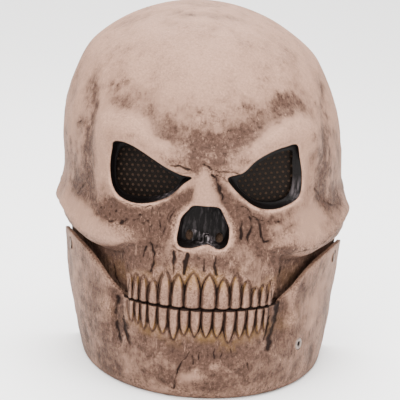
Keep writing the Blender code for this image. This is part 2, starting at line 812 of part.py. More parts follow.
def drill(name, shells, frame, stack, cutters):
    """The flat seat and the bore that a rivet needs, cut from each shell that it passes."""
    seat_radius = RIVET_FLANGE / 2 + SEAT_CLEARANCE
    bore_radius = RIVET_BARREL / 2 + SEAT_CLEARANCE
    seat_mesh = rod_mesh(name + "_seat", seat_radius, 0, CUT_REACH)
    bore_mesh = rod_mesh(name + "_bore", bore_radius, -stack - CUT_REACH, CUT_REACH)
    seat = add_cutter(seat_mesh.name, seat_mesh, cutters)
    bore = add_cutter(bore_mesh.name, bore_mesh, cutters)
    seat.matrix_world = frame
    bore.matrix_world = frame
    combine(shells[0], seat)
    for shell in shells:
        combine(shell, bore)


def front_turns(teeth, section):
    """Turns of the grid's columns: in each groove and along the middle of each tooth, then the sides."""
    sides = [across for across, _ in teeth]
    middles = [(a + b) / 2 for a, b in zip(sides, sides[1:])]
    front = turn_at(np.sort(np.array(sides + middles)) * FACE_HALF, np.array(section))
    side = np.array(SIDE_TURNS)
    return np.concatenate((-side[::-1], front, side))


def build_shells(collection, material):
    rows = np.concatenate(([0], position_at(np.array(SKULL_LEVELS)), [len(SKULL_SECTIONS) - 1]))
    outer, inner = skull_faces(front_turns(UPPER_TEETH, SKULL_SECTIONS[0]), rows)
    mesh = shell_mesh("skull_shell", outer, inner, True)
    skull = add_object("skull_shell", mesh, collection, material)
    outer, inner = jaw_faces(front_turns(LOWER_TEETH, SKULL_SECTIONS[0]), np.array(JAW_LEVELS))
    mesh = shell_mesh("jaw_shell", outer, inner, False)
    jaw = add_object("jaw_shell", mesh, collection, material)
    return skull, jaw


def cut_hollow(name, skull, tree, outline, foot, floor, cutters):
    """A socket or the nose: straight in from the front, then sloping down to the foot on its floor."""
    ahead = -2 * MASK_DEPTH
    rim = [tree.ray_cast(Vector((x, ahead, z)), Vector((0, 1, 0)))[0].y + RIM_DEPTH for x, z in outline]
    rings = (ring_at(outline, ahead), ring_at(outline, rim), ring_at(foot, floor(foot)))
    combine(skull, add_cutter(name, loft_mesh(name, rings), cutters))


def cut_through(name, skull, outline, floor, cutters):
    """An opening through the floor of a socket or the nose."""
    depth = floor(outline)
    rings = (ring_at(outline, depth - CUT_REACH / 2), ring_at(outline, depth + WALL + CUT_REACH / 2))
    combine(skull, add_cutter(name, loft_mesh(name, rings), cutters))


def add_sheet(name, outline, floor, parts, material):
    """A thin sheet lying against the inside of a floor."""
    front = floor(outline) + WALL + PIECE_GAP
    rings = (ring_at(outline, front), ring_at(outline, front + SHEET_THICKNESS))
    return add_object(name, loft_mesh(name, rings), parts, material)


def build_eyes(skull, tree, parts, cutters, material):
    """Both sockets with their openings, and the perforated sheets behind them."""
    sheets = []
    sides = (("left", LEFT_SOCKET, LEFT_OPENING), ("right", RIGHT_SOCKET, RIGHT_OPENING))
    for side, socket, hole in sides:
        outline, opening = on_face(socket), on_face(hole)
        _, near_x, near_z = beside_outline(opening, outline[:, 0], outline[:, 1])
        near = np.stack((near_x, near_z), axis=1)
        foot = near + SOCKET_FLOOR_SHARE * (outline - near)
        cut_hollow("socket_" + side, skull, tree, outline, foot, socket_floor, cutters)
        cut_through("eye_opening_" + side, skull, opening, socket_floor, cutters)
        sheet = grown(opening, SHEET_MARGIN)
        sheets.append(add_sheet("eye_mesh_" + side, sheet, socket_floor, parts, material))
    return sheets


def build_nose(skull, tree, parts, cutters, material):
    """The nose cavity with its spine and its two nostrils, and the gauze behind them."""
    outline = on_face(NOSE_OUTLINE)
    middle = outline.mean(axis=0)
    foot = middle + NOSE_NARROWING * (outline - middle)
    cut_hollow("nose", skull, tree, outline, foot, nose_floor, cutters)
    place = np.array(SPINE_PLACE) * (FACE_HALF, MASK_HEIGHT)
    centre = Vector((place[0], nose_floor(place) - SPINE_FORWARD, place[1]))
    spine = bpy.data.meshes.new("nose_spine")
    work = bmesh.new()
    stretched = Matrix.Translation(centre) @ Matrix.Diagonal((*SPINE_HALVES, 1))
    bmesh.ops.create_icosphere(work, subdivisions=2, radius=1, matrix=stretched)
    work.to_mesh(spine)
    work.free()
    combine(skull, add_cutter(spine.name, tidied(spine), cutters), "UNION")
    angles = np.linspace(0, 2 * math.pi, RIVET_STEPS, endpoint=False)
    ring = np.stack((np.cos(angles), np.sin(angles)), axis=1) * (NOSTRIL_WIDTH / 2, NOSTRIL_HEIGHT / 2)
    for side, place in zip(("left", "right"), NOSTRILS):
        nostril = ring + np.array(place) * (FACE_HALF, MASK_HEIGHT)
        cut_through("nostril_" + side, skull, nostril, nose_floor, cutters)
    patch = np.array(NOSE_SHEET) * (FACE_HALF, MASK_HEIGHT)
    return add_sheet("nose_mesh", patch, nose_floor, parts, material)


def build_rivets(shells, parts, cutters, material):
    """Each hollow rivet goes through the walls met from its side at its setback and height."""
    places = (
        # name, side, setback, height share, shells from outside
        ("jaw_pivot_left", -1, HINGE_SETBACK, HINGE_UP, ("jaw", "skull")),
        ("jaw_pivot_right", 1, HINGE_SETBACK, HINGE_UP, ("jaw", "skull")),
        ("temple_eyelet_left", -1, TEMPLE_SETBACK, LEFT_TEMPLE_UP, ("skull",)),
        ("temple_eyelet_right", 1, TEMPLE_SETBACK, RIGHT_TEMPLE_UP, ("skull",)),
        ("jaw_eyelet", 1, JAW_EYELET_SETBACK, JAW_EYELET_UP, ("jaw",)),
    )
    rivets = {}
    for name, side, setback, up, through in places:
        inwards = Vector((-side, 0, 0))
        start = Vector((side * MASK_WIDTH, -setback, up * MASK_HEIGHT))
        outermost, innermost = shells[through[0]][1], shells[through[-1]][1]
        met, normal, _, _ = outermost.ray_cast(start, inwards)
        if len(through) == 1:
            inwards = -normal
            start = met + normal * MASK_WIDTH / 4
        entered = hits(outermost, start, inwards)[0] + RIVET_SEAT
        stack = far_side(innermost, start, inwards, RIVET_FLANGE / 2) - entered
        frame = frame_at(start + inwards * entered, -inwards)
        drill(name, [shells[key][0] for key in through], frame, stack, cutters)
        rivets[name] = add_rivet(name, frame, stack, parts, material)
    return rivets


def add_empty(name, place, collection, parent=None):
    empty = bpy.data.objects.new(name, None)
    collection.objects.link(empty)
    empty.empty_display_size = RIVET_FLANGE
    empty.location = place
    empty.parent = parent
    return empty


def keep_place(obj, parent, parent_place):
    obj.parent = parent
    obj.matrix_parent_inverse = Matrix.Translation(parent_place).inverted()


def middle_of(objects):
    """Middle in x and y of the box round some finished objects."""
    bpy.context.view_layer.update()
    graph = bpy.context.evaluated_depsgraph_get()
    corners = []
    for obj in objects:
        corners += [obj.matrix_world @ Vector(corner) for corner in obj.evaluated_get(graph).bound_box]
    corners = np.array(corners)
    x, y, _ = (corners.min(axis=0) + corners.max(axis=0)) / 2
    return Vector((x, y, 0))


def main():
    clear_scene()
    parts = new_collection("skull_mask")
    cutters = new_collection("cutters")
    skull, jaw = build_shells(parts, finish("bone"))
    tree = tree_of(skull.data)
    shells = {"skull": (skull, tree), "jaw": (jaw, tree_of(jaw.data))}
    rivets = build_rivets(shells, parts, cutters, finish("rivet"))
    sheets = build_eyes(skull, tree, parts, cutters, finish("mesh"))
    gauze = build_nose(skull, tree, parts, cutters, finish("gauze"))

    # The origin is below the middle of the mask; what turns with the jaw hangs on an empty on its axis
    pieces = [skull, jaw, *rivets.values(), *sheets, gauze]
    middle = middle_of(pieces)
    base = add_empty("mask_base", (0, 0, 0), parts)
    axis_place = Vector((0, -HINGE_SETBACK, HINGE_UP * MASK_HEIGHT))
    axis = add_empty("jaw_axis", axis_place, parts, base)
    turning = (jaw, rivets["jaw_eyelet"])
    for obj in pieces + list(cutters.objects):
        if obj in turning:
            keep_place(obj, axis, axis_place)
        else:
            keep_place(obj, base, Vector())
    base.location = -middle


main()
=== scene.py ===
"""Skull mask, dressed: the painted upper shell and jaw with their cast teeth, the perforated sheets behind
the eyes, the gauze behind the nostrils and the hollow rivets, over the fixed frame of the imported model."""

import json
import math

import bmesh
import bpy
import numpy as np
from bpy.props import FloatProperty, FloatVectorProperty, PointerProperty
from mathutils import Matrix, Vector
from mathutils.bvhtree import BVHTree


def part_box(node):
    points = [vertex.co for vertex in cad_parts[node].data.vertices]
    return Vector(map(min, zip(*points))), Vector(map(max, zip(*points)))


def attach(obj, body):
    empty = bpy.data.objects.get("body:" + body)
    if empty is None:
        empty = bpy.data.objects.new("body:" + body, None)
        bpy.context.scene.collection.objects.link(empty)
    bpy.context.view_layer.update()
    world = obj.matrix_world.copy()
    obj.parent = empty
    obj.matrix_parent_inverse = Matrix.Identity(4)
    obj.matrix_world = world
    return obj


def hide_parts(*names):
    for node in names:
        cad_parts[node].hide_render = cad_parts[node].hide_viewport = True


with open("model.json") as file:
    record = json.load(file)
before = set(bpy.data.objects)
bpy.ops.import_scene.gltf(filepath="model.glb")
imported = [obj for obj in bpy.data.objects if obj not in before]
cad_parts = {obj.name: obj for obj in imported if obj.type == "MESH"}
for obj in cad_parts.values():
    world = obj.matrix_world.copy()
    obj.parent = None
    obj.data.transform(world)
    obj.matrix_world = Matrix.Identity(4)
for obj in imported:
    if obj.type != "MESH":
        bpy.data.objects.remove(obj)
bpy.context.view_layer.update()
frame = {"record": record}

bl_info = {
    "name": "Skull mask",
    "version": (1, 0, 0),
    "blender": (4, 5, 0),
    "location": "3D View > Sidebar > Mask",
    "description": "Builds the painted skull mask over its packed frame",
    "category": "Mesh",
}

# The frame's own sizes, in metres, and the share of the width that the face takes
MASK_HEIGHT = 0.256
MASK_WIDTH = 0.212
FACE_SHARE = 0.962
MASK_DEPTH = 0.147
CROWN_LEAN = 0.009
WALL = 0.0026
JAW_GAP = 0.0020
HALF_WIDTH = MASK_WIDTH / 2
FACE_HALF = FACE_SHARE * HALF_WIDTH
HALF_TURN = math.pi / 2
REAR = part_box("skull_shell")[1][1]
MIDDLE = (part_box("jaw_pivot_left")[0][0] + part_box("jaw_pivot_right")[1][0]) / 2

# Level sections of the upper shell: height, half width, depth, roundness and lean, in shares
SKULL_SECTIONS = (
    (0.2540, 0.945, 0.983, 2.00, 0.00),
    (0.3125, 0.958, 0.982, 2.05, 0.00),
    (0.3710, 0.972, 0.976, 2.15, 0.00),
    (0.4300, 0.980, 0.962, 2.25, 0.12),
    (0.4880, 0.978, 0.945, 2.30, 0.22),
    (0.5470, 0.978, 0.943, 2.30, 0.33),
    (0.6050, 0.979, 0.952, 2.28, 0.44),
    (0.6640, 0.969, 0.952, 2.22, 0.56),
    (0.7230, 0.942, 0.939, 2.14, 0.67),
    (0.7810, 0.896, 0.912, 2.05, 0.76),
    (0.8320, 0.829, 0.867, 2.05, 0.84),
    (0.8790, 0.737, 0.803, 2.05, 0.93),
    (0.9220, 0.607, 0.714, 2.05, 1.00),
    (0.9570, 0.462, 0.599, 2.05, 1.00),
    (0.9820, 0.302, 0.449, 2.05, 1.00),
    (0.9960, 0.150, 0.272, 2.05, 1.00),
    (1.0000, 0.000, 0.000, 2.05, 1.00),
)
JAW_SECTIONS = (
    (0.000, 0.840, 0.958, 2.10, -0.26),
    (0.014, 0.849, 0.983, 2.10, -0.26),
    (0.039, 0.860, 1.000, 2.10, -0.24),
    (0.086, 0.881, 1.010, 2.08, -0.18),
    (0.137, 0.907, 1.008, 2.05, -0.10),
    (0.195, 0.930, 0.994, 2.02, 0.00),
    (0.254, 0.945, 0.983, 2.00, 0.00),
    (0.312, 0.958, 0.982, 2.05, 0.00),
    (0.371, 0.972, 0.976, 2.15, 0.00),
)

# Lines and outlines on the face: across and up, in shares of the face's half width and the height
BROW_LINE = (
    (0.00, 0.606), (0.10, 0.604), (0.20, 0.610), (0.30, 0.634), (0.40, 0.657), (0.50, 0.671),
    (0.60, 0.674), (0.72, 0.655), (0.85, 0.615),
)
CHEEK_LINE = (
    (0.40, 0.400), (0.50, 0.396), (0.60, 0.386), (0.70, 0.378), (0.78, 0.386), (0.86, 0.404),
    (0.94, 0.424), (1.04, 0.436),
)
HOLLOW_LINE = (
    (0.40, 0.400), (0.50, 0.396), (0.60, 0.386), (0.70, 0.378), (0.78, 0.380), (0.86, 0.386),
    (0.94, 0.390), (1.04, 0.390),
)
JAW_EDGE = (
    (0.000, 0.2515), (0.340, 0.2515), (0.375, 0.2555), (0.420, 0.278), (0.470, 0.308), (0.520, 0.331),
    (0.580, 0.348), (0.660, 0.358), (0.740, 0.361), (0.820, 0.356), (0.880, 0.347), (0.940, 0.328),
    (1.000, 0.300),
)
LEFT_SOCKET = (
    (-0.613, 0.669), (-0.540, 0.672), (-0.452, 0.661), (-0.350, 0.640), (-0.262, 0.621),
    (-0.162, 0.605), (-0.092, 0.599), (-0.139, 0.580), (-0.220, 0.544), (-0.310, 0.523),
    (-0.396, 0.513), (-0.490, 0.512), (-0.572, 0.524), (-0.615, 0.548), (-0.632, 0.580),
    (-0.635, 0.612), (-0.625, 0.647),
)
RIGHT_SOCKET = (
    (0.143, 0.602), (0.239, 0.616), (0.319, 0.647), (0.409, 0.667), (0.506, 0.679), (0.585, 0.681),
    (0.611, 0.646), (0.636, 0.590), (0.625, 0.538), (0.530, 0.516), (0.431, 0.510), (0.337, 0.519),
    (0.255, 0.542), (0.186, 0.569),
)
LEFT_OPENING = (
    (-0.580, 0.640), (-0.536, 0.653), (-0.456, 0.643), (-0.374, 0.626), (-0.285, 0.604),
    (-0.205, 0.590), (-0.168, 0.578), (-0.182, 0.562), (-0.224, 0.544), (-0.295, 0.530),
    (-0.375, 0.521), (-0.448, 0.518), (-0.510, 0.520), (-0.556, 0.529), (-0.585, 0.545),
    (-0.597, 0.573), (-0.597, 0.610),
)
RIGHT_OPENING = (
    (0.206, 0.587), (0.252, 0.599), (0.330, 0.626), (0.420, 0.647), (0.512, 0.659), (0.560, 0.657),
    (0.567, 0.625), (0.574, 0.591), (0.568, 0.556), (0.540, 0.536), (0.487, 0.525), (0.406, 0.522),
    (0.325, 0.530), (0.262, 0.546), (0.212, 0.567),
)
NOSE_OUTLINE = (
    (-0.068, 0.523), (0.023, 0.525), (0.095, 0.518), (0.123, 0.502), (0.148, 0.482), (0.168, 0.462),
    (0.170, 0.440), (0.155, 0.420), (0.105, 0.411), (0.030, 0.422), (-0.070, 0.412), (-0.145, 0.413),
    (-0.170, 0.430), (-0.160, 0.462), (-0.147, 0.486), (-0.110, 0.506),
)
NOSTRILS = ((-0.091, 0.432), (0.108, 0.428))
SPINE_PLACE = (0.026, 0.420)
NOSE_SHEET = (-0.175, 0.185, 0.410, 0.454)  # its left, right, foot and top
SOCKET_UP = 0.600
SOCKET_ENDS = (0.12, 0.64)

# Teeth: the left side across, and the height at which the root ends; the last row closes the arch
UPPER_TEETH = (
    (-0.475, 0.324), (-0.438, 0.326), (-0.393, 0.326), (-0.334, 0.320), (-0.263, 0.349),
    (-0.184, 0.341), (-0.100, 0.349), (0.004, 0.346), (0.104, 0.336), (0.188, 0.348), (0.260, 0.330),
    (0.325, 0.310), (0.383, 0.316), (0.435, 0.324), (0.471, 0.324),
)
LOWER_TEETH = (
    (-0.466, 0.190), (-0.422, 0.189), (-0.382, 0.178), (-0.333, 0.177), (-0.267, 0.176),
    (-0.194, 0.163), (-0.125, 0.179), (-0.059, 0.177), (0.014, 0.176), (0.086, 0.175), (0.159, 0.160),
    (0.235, 0.172), (0.304, 0.172), (0.366, 0.180), (0.416, 0.182), (0.456, 0.182),
)
# Creases, pits, stains and painted highlights, in millimetres, seen from the front
CREASES = (
    # half width, strength of the paint, depth, points
    (0.63, 0.80, 0.35, ((-34.6, 129.4), (-34.8, 120.4), (-35.7, 112.8), (-34.6, 105.2))),
    (1.05, 1.00, 0.60, ((-34.7, 106.5), (-32.8, 102.8), (-32.2, 98.3), (-32.2, 92.9), (-33.5, 86.5))),
    (0.56, 0.70, 0.35, ((-29.1, 122.3), (-29.1, 111.2), (-30.7, 103.3))),
    (0.63, 0.90, 0.40, ((-37.4, 103.5), (-38.4, 99.9), (-39.4, 95.5))),
    (0.49, 0.80, 0.35, ((-51.1, 93.9), (-50.3, 88.4), (-48.5, 83.3))),
    (0.70, 0.90, 0.40, ((-60.5, 82.1), (-59.5, 77.3), (-58.2, 73.3), (-55.5, 68.5))),
    (0.77, 0.95, 0.50, ((-18.9, 102.5), (-18.8, 95.4), (-18.2, 88.2))),
    (1.05, 1.00, 0.60, ((-10.0, 101.3), (-10.7, 95.5), (-11.2, 88.9))),
    (0.42, 0.70, 0.30, ((1.5, 98.8), (1.9, 91.0))),
    (0.63, 0.90, 0.40, ((9.2, 101.0), (8.2, 95.2), (10.8, 88.8))),
    (0.56, 0.75, 0.35, ((-17.4, 133.7), (-22.5, 123.0), (-27.9, 111.4))),
    (0.42, 0.55, 0.25, ((-21.5, 129.8), (-25.8, 120.7), (-28.3, 116.5))),
    (0.42, 0.50, 0.25, ((-18.7, 126.0), (-22.6, 117.1), (-24.5, 109.1))),
    (0.70, 0.90, 0.40, ((-20.1, 106.3), (-16.8, 103.9), (-13.1, 102.4))),
    (0.49, 0.80, 0.30, ((-55.6, 130.4), (-47.9, 129.2), (-39.1, 129.7), (-32.7, 130.9), (-31.6, 129.1))),
    (0.56, 0.80, 0.35, ((-43.9, 123.3), (-39.5, 125.1), (-34.8, 126.5))),
    (0.49, 0.75, 0.30, ((-56.2, 116.5), (-50.8, 119.8), (-46.7, 119.7), (-43.4, 120.4))),
    (0.49, 0.65, 0.30, ((-41.9, 117.9), (-37.9, 120.0), (-35.3, 122.9))),
    (0.42, 0.60, 0.30, ((-67.7, 117.6), (-63.2, 116.2), (-59.1, 118.4))),
    (0.98, 0.95, 0.50, ((4.2, 156.6), (6.6, 154.3), (8.5, 149.9), (9.5, 145.4), (12.0, 138.8))),
    (0.63, 0.95, 0.40, ((-1.4, 162.6), (4.4, 159.6), (10.3, 158.3), (16.3, 158.3), (21.6, 157.3))),
    (0.77, 0.85, 0.35, ((7.5, 156.7), (11.9, 153.9), (14.6, 151.7))),
    (0.63, 0.85, 0.35, ((-25.4, 161.2), (-17.7, 160.9), (-10.5, 159.0), (-6.1, 157.6))),
    (0.49, 0.60, 0.25, ((-18.6, 156.9), (-13.3, 156.4), (-8.7, 157.3))),
    (0.63, 0.50, 0.20, ((-6.4, 155.1), (-6.8, 147.7), (-8.3, 141.0), (-11.1, 135.1))),
    (0.49, 0.85, 0.35, ((21.0, 132.8), (25.6, 133.6), (29.0, 132.1), (32.2, 127.3), (37.4, 124.2),
                        (44.4, 122.3), (50.3, 122.5))),
    (0.98, 0.95, 0.60, ((25.0, 124.4), (25.1, 118.5), (25.9, 112.0))),
    (0.91, 1.00, 0.60, ((30.3, 126.3), (32.1, 121.0), (30.9, 116.5), (29.8, 113.3), (30.8, 108.4))),
    (0.77, 0.95, 0.50, ((35.8, 124.9), (38.0, 118.9), (39.3, 113.6), (41.3, 110.0), (44.3, 110.3))),
    (0.42, 0.60, 0.30, ((21.3, 133.8), (22.2, 123.1), (22.3, 117.2))),
    (0.42, 0.55, 0.25, ((26.0, 132.4), (28.2, 128.4), (31.1, 125.7))),
    (0.70, 0.60, 0.30, ((53.9, 116.2), (56.6, 118.0), (59.3, 119.0))),
    (0.77, 0.60, 0.30, ((52.6, 101.4), (53.9, 88.2), (53.5, 79.3))),
    (0.70, 0.55, 0.30, ((65.6, 100.8), (74.9, 100.4), (82.9, 102.6), (88.7, 107.2))),
    (0.42, 0.85, 0.20, ((-57.8, 212.3), (-56.7, 211.0), (-57.0, 209.7))),
    (0.42, 0.60, 0.20, ((-67.1, 205.4), (-64.6, 206.3), (-62.7, 205.7))),
    (0.42, 0.90, 0.20, ((50.9, 204.0), (53.0, 204.6), (54.8, 204.3))),
    (0.35, 0.70, 0.20, ((44.8, 208.3), (46.6, 205.1), (50.3, 200.8))),
    (0.35, 0.55, 0.20, ((21.4, 201.2), (24.2, 198.3), (28.5, 198.5), (31.1, 200.3))),
    (0.42, 0.65, 0.25, ((-14.9, 192.3), (-12.5, 191.8), (-9.4, 194.5), (-5.5, 195.7))),
    (0.35, 0.60, 0.25, ((-3.7, 187.8), (-0.5, 189.5), (1.9, 188.3))),
    (0.56, 0.90, 0.25, ((-90.1, 174.5), (-87.8, 176.8))),
    (0.35, 0.45, 0.20, ((-102.3, 161.6), (-98.3, 162.7), (-97.3, 160.5))),
    (0.49, 0.55, 0.30, ((-80.2, 141.3), (-83.9, 134.0), (-88.7, 126.2))),
    (0.56, 0.60, 0.30, ((74.3, 141.0), (79.8, 132.4), (86.7, 126.2), (94.7, 122.7))),
    (0.63, 0.90, 0.35, ((-4.8, 35.8), (-8.9, 29.4), (-12.9, 19.6), (-14.5, 7.6))),
    (0.49, 0.80, 0.30, ((-3.3, 32.6), (-2.6, 27.2))),
    (0.42, 0.70, 0.30, ((-8.7, 33.4), (-7.6, 28.8))),
    (0.42, 0.70, 0.30, ((1.5, 36.2), (1.7, 30.2))),
    (0.49, 0.80, 0.30, ((6.5, 38.4), (7.4, 33.1))),
    (0.49, 0.80, 0.30, ((11.2, 38.5), (11.8, 31.8))),
    (0.42, 0.70, 0.30, ((16.3, 37.1), (16.2, 31.7))),
    (0.49, 0.75, 0.30, ((22.3, 37.5), (23.6, 31.4))),
    (0.42, 0.70, 0.30, ((34.3, 27.6), (35.9, 21.7))),
    (0.42, 0.70, 0.30, ((28.7, 24.0), (32.1, 17.9), (35.5, 12.0))),
    (0.56, 0.80, 0.25, ((-33.7, 27.3), (-30.3, 29.2))),
    (2.00, 1.00, 0.60, ((-51.3, 47.6), (-49.5, 39.9), (-45.6, 33.5))),
    (1.60, 0.90, 0.50, ((-55.6, 61.2), (-56.6, 50.2), (-54.7, 40.2), (-52.5, 33.0))),
    (2.00, 1.00, 0.60, ((52.8, 62.8), (51.9, 54.1), (49.6, 44.6), (47.3, 34.9))),
    (0.63, 0.80, 0.40, ((48.1, 58.5), (46.9, 48.8), (45.3, 40.8))),
)
PITS = (
    # across, up, radius, depth
    (-55.2, 117.3, 1.8, 0.9), (-42.5, 123.6, 1.8, 1.0), (-63.9, 120.4, 1.4, 0.6), (-65.7, 117.8, 1.3, 0.5),
    (-52.2, 119.9, 1.2, 0.5), (-46.5, 119.7, 1.2, 0.5), (-41.1, 118.0, 1.4, 0.7), (-37.8, 119.7, 1.1, 0.5),
    (-61.8, 116.9, 1.1, 0.5), (-70.3, 123.5, 1.0, 0.4), (-66.4, 128.3, 1.3, 0.4), (-67.5, 123.0, 1.1, 0.5),
    (-59.2, 123.0, 1.2, 0.5), (-29.2, 124.5, 1.1, 0.6), (-50.4, 124.7, 1.0, 0.4), (-53.5, 113.0, 0.9, 0.4),
    (-72.6, 118.7, 0.9, 0.3), (-63.1, 125.1, 1.0, 0.4), (-35.4, 116.7, 1.0, 0.5), (-58.1, 114.5, 0.9, 0.4),
    (-56.3, 209.6, 0.8, 0.3), (52.8, 204.6, 1.0, 0.5), (49.5, 202.4, 0.8, 0.3), (54.5, 200.7, 0.8, 0.3),
    (-88.7, 175.6, 1.0, 0.4), (26.2, 199.2, 0.8, 0.2), (-48.9, 177.9, 1.0, 0.3), (44.0, 110.0, 1.3, 0.6),
    (30.8, 109.0, 1.0, 0.5), (26.1, 112.4, 1.0, 0.5), (37.4, 100.8, 0.8, 0.3), (32.3, 122.3, 1.1, 0.5),
    (-18.6, 105.2, 1.0, 0.4), (18.2, 129.1, 0.8, 0.3), (25.9, 129.1, 1.0, 0.4), (18.8, 33.0, 0.9, 0.3),
    (26.5, 35.2, 0.8, 0.3), (32.1, 25.0, 0.8, 0.3), (35.9, 11.9, 0.9, 0.3), (-16.1, 7.7, 0.9, 0.3),
    (-48.2, 43.3, 1.0, 0.4), (-51.9, 36.7, 1.0, 0.4), (-53.9, 30.3, 0.9, 0.3), (-57.8, 44.1, 0.9, 0.3),
    (-56.5, 58.0, 1.0, 0.6), (-57.2, 53.0, 0.9, 0.5), (-56.0, 47.5, 1.0, 0.6), (-55.0, 42.0, 1.0, 0.6),
    (-52.5, 56.0, 0.9, 0.5), (-51.5, 50.0, 1.0, 0.6), (-53.8, 36.5, 1.0, 0.6), (-50.0, 44.0, 0.8, 0.5),
)
STAINS_AND_HIGHLIGHTS = (
    # across, up, reach across, reach up, strength; below 0 it is paler, which on the brows, nose bridge,
    # cheekbones and chin boss is pale dry brush and painted highlight
    (-57.6, 209.1, 6.3, 5.6, 0.60), (-65.9, 205.0, 5.6, 4.9, 0.45), (51.9, 203.7, 7.7, 6.3, 0.70),
    (26.2, 199.2, 7.0, 4.2, 0.60), (-5.3, 191.8, 18.2, 7.0, 0.45), (-29.3, 195.3, 11.2, 5.6, 0.30),
    (-80.2, 193.7, 4.9, 12.6, 0.50), (-80.3, 170.5, 5.6, 9.8, 0.30), (-49.5, 177.5, 4.2, 2.8, 0.50),
    (-59.0, 185.5, 4.2, 2.8, 0.40), (73.1, 201.9, 4.2, 9.8, 0.50), (78.2, 181.9, 6.3, 18.2, 0.35),
    (-67.7, 226.0, 9.8, 6.3, 0.35), (51.4, 228.7, 7.0, 6.3, 0.30), (-4.1, 170.5, 9.1, 9.8, 0.50),
    (14.6, 165.8, 14.0, 4.9, 0.60), (-18.9, 163.8, 9.8, 3.5, 0.40), (-63.8, 124.9, 11.2, 6.3, 0.60),
    (-49.6, 121.2, 14.0, 6.3, 0.70), (-27.2, 121.9, 6.3, 12.6, 0.80), (-34.0, 110.6, 5.6, 12.6, 0.60),
    (-41.4, 91.9, 14.0, 7.7, 0.60), (-62.0, 85.4, 9.8, 7.0, 0.70), (-77.3, 92.6, 6.3, 5.6, 0.40),
    (-87.6, 81.3, 3.5, 6.3, 0.20), (-94.2, 79.6, 3.5, 5.6, 0.15), (-84.8, 18.2, 5.6, 15.4, 0.35),
    (-82.7, 53.7, 5.6, 8.4, 0.25), (26.3, 132.4, 9.1, 5.6, 0.60), (22.1, 124.4, 4.2, 12.6, 0.50),
    (31.1, 117.8, 9.1, 9.8, 0.80), (40.8, 113.0, 6.3, 5.6, 0.60), (59.8, 103.8, 7.0, 3.5, 0.80),
    (50.3, 101.5, 4.9, 4.2, 0.80), (53.9, 85.2, 4.2, 9.1, 0.70), (87.4, 130.4, 7.7, 7.7, 0.60),
    (82.7, 154.1, 9.1, 14.0, 0.35), (-87.9, 132.3, 7.0, 8.4, 0.45), (-95.4, 145.6, 5.6, 14.0, 0.35),
    (-1.1, 96.7, 21.0, 6.3, 0.50), (16.2, 97.2, 9.8, 7.0, 0.50), (1.8, 36.9, 21.0, 9.1, 0.80),
    (-7.8, 28.8, 9.8, 8.4, 0.50), (31.6, 20.8, 7.7, 8.4, 0.60), (20.7, 35.6, 16.8, 7.0, 0.50),
    (10.5, 10.7, 14.0, 4.2, 0.60), (-57.7, 9.3, 9.8, 5.6, 0.40), (-22.2, 15.7, 14.0, 6.3, 0.40),
    (-32.0, 35.8, 12.6, 6.3, 0.30), (-55.5, 49.2, 4.6, 16.0, 1.00), (49.2, 52.4, 4.9, 18.2, 0.80),
    (-7.4, 157.7, 4.2, 5.6, 0.50), (6.7, 152.1, 4.2, 8.4, 0.80), (62.7, 128.6, 9.8, 5.6, 0.25),
    (95.4, 44.2, 5.6, 21.0, 0.30), (-67.9, 135.6, 5.6, 5.6, 0.15), (20.6, 217.0, 7.0, 5.6, -0.50),
    (-47.3, 183.9, 14.0, 4.2, -0.60), (-71.6, 163.1, 3.5, 23.8, -0.50), (44.2, 187.1, 9.8, 5.6, -0.50),
    (-1.7, 148.4, 6.3, 8.4, -0.90), (2.1, 138.8, 8.4, 4.9, -0.80), (-85.5, 113.3, 13.5, 9.0, -1.10),
    (-66.1, 145.9, 4.2, 15.4, -0.30), (73.8, 121.0, 11.0, 9.0, -0.80), (64.9, 162.7, 3.5, 23.8, -0.50),
    (-3.9, 17.8, 9.1, 6.3, -0.80), (14.5, 25.6, 5.6, 4.2, -0.30), (77.0, 59.6, 9.8, 21.0, -0.30),
    (-61.2, 103.9, 12.6, 3.5, -0.50), (-7.9, 227.3, 35.0, 14.0, -0.35), (-77.5, 73.4, 8.4, 8.4, -0.20),
    (-36.6, 243.1, 21.0, 8.4, -0.25), (31.8, 104.7, 9.8, 5.6, -0.20), (-43.5, 109.5, 8.4, 4.2, -0.30),
    (20.5, 116.6, 2.1, 12.6, -0.50), (-2.0, 177.0, 17.0, 11.0, 0.70), (-51.0, 91.0, 5.5, 11.0, 0.90),
    (53.5, 91.0, 5.5, 12.0, 0.90), (-24.0, 134.0, 7.0, 9.0, 0.60), (-41.0, 113.0, 9.0, 8.0, 0.40),
    (0.0, 24.0, 30.0, 12.0, 0.30), (-66.0, 30.0, 12.0, 26.0, 0.25), (-68.0, 107.0, 14.0, 7.0, -0.50),
    (-48.0, 121.5, 15.0, 6.0, 0.50), (31.0, 118.0, 9.0, 10.0, 0.30), (-20.0, 138.0, 6.0, 5.0, 0.60),
    (-38.0, 118.0, 12.0, 12.0, 0.35), (1.0, 171.0, 14.0, 7.0, 0.40),
)
# Where a painted lilac-grey sheen lies on the black, in the same way
PAINTED_SHEEN_PLACES = (
    (-20.0, 139.5, 7.0, 5.0, 1.0), (-24.0, 136.0, 9.0, 4.0, 0.7), (3.5, 122.0, 9.0, 6.0, 1.0),
    (-6.0, 116.0, 6.0, 8.0, 0.5), (62.0, 139.0, 6.0, 9.0, 0.4), (2.5, 115.0, 3.0, 9.0, 1.0),
    (3.0, 106.0, 5.0, 3.0, 1.2),
)
UPPER_EDGE = 0.2540 * MASK_HEIGHT
LOWER_EDGE = 0.2515 * MASK_HEIGHT

# The upper shell's edge laps in behind the jaw: how far, over what height, and at what turns
LAP = 0.0050
LAP_BLEND = 0.0120
LAP_START_TURN = (0.336, 0.360)
LAP_END_TURN = (0.77, 0.56)
HOLLOW_START = (0.316, 0.336)
MOUTH_HALF = 0.052  # half the width over which painted shadow lies along the mouth
MOUTH_LIP = 0.0004  # how far the jaw's edge stands higher inside, so that no light shows between the teeth

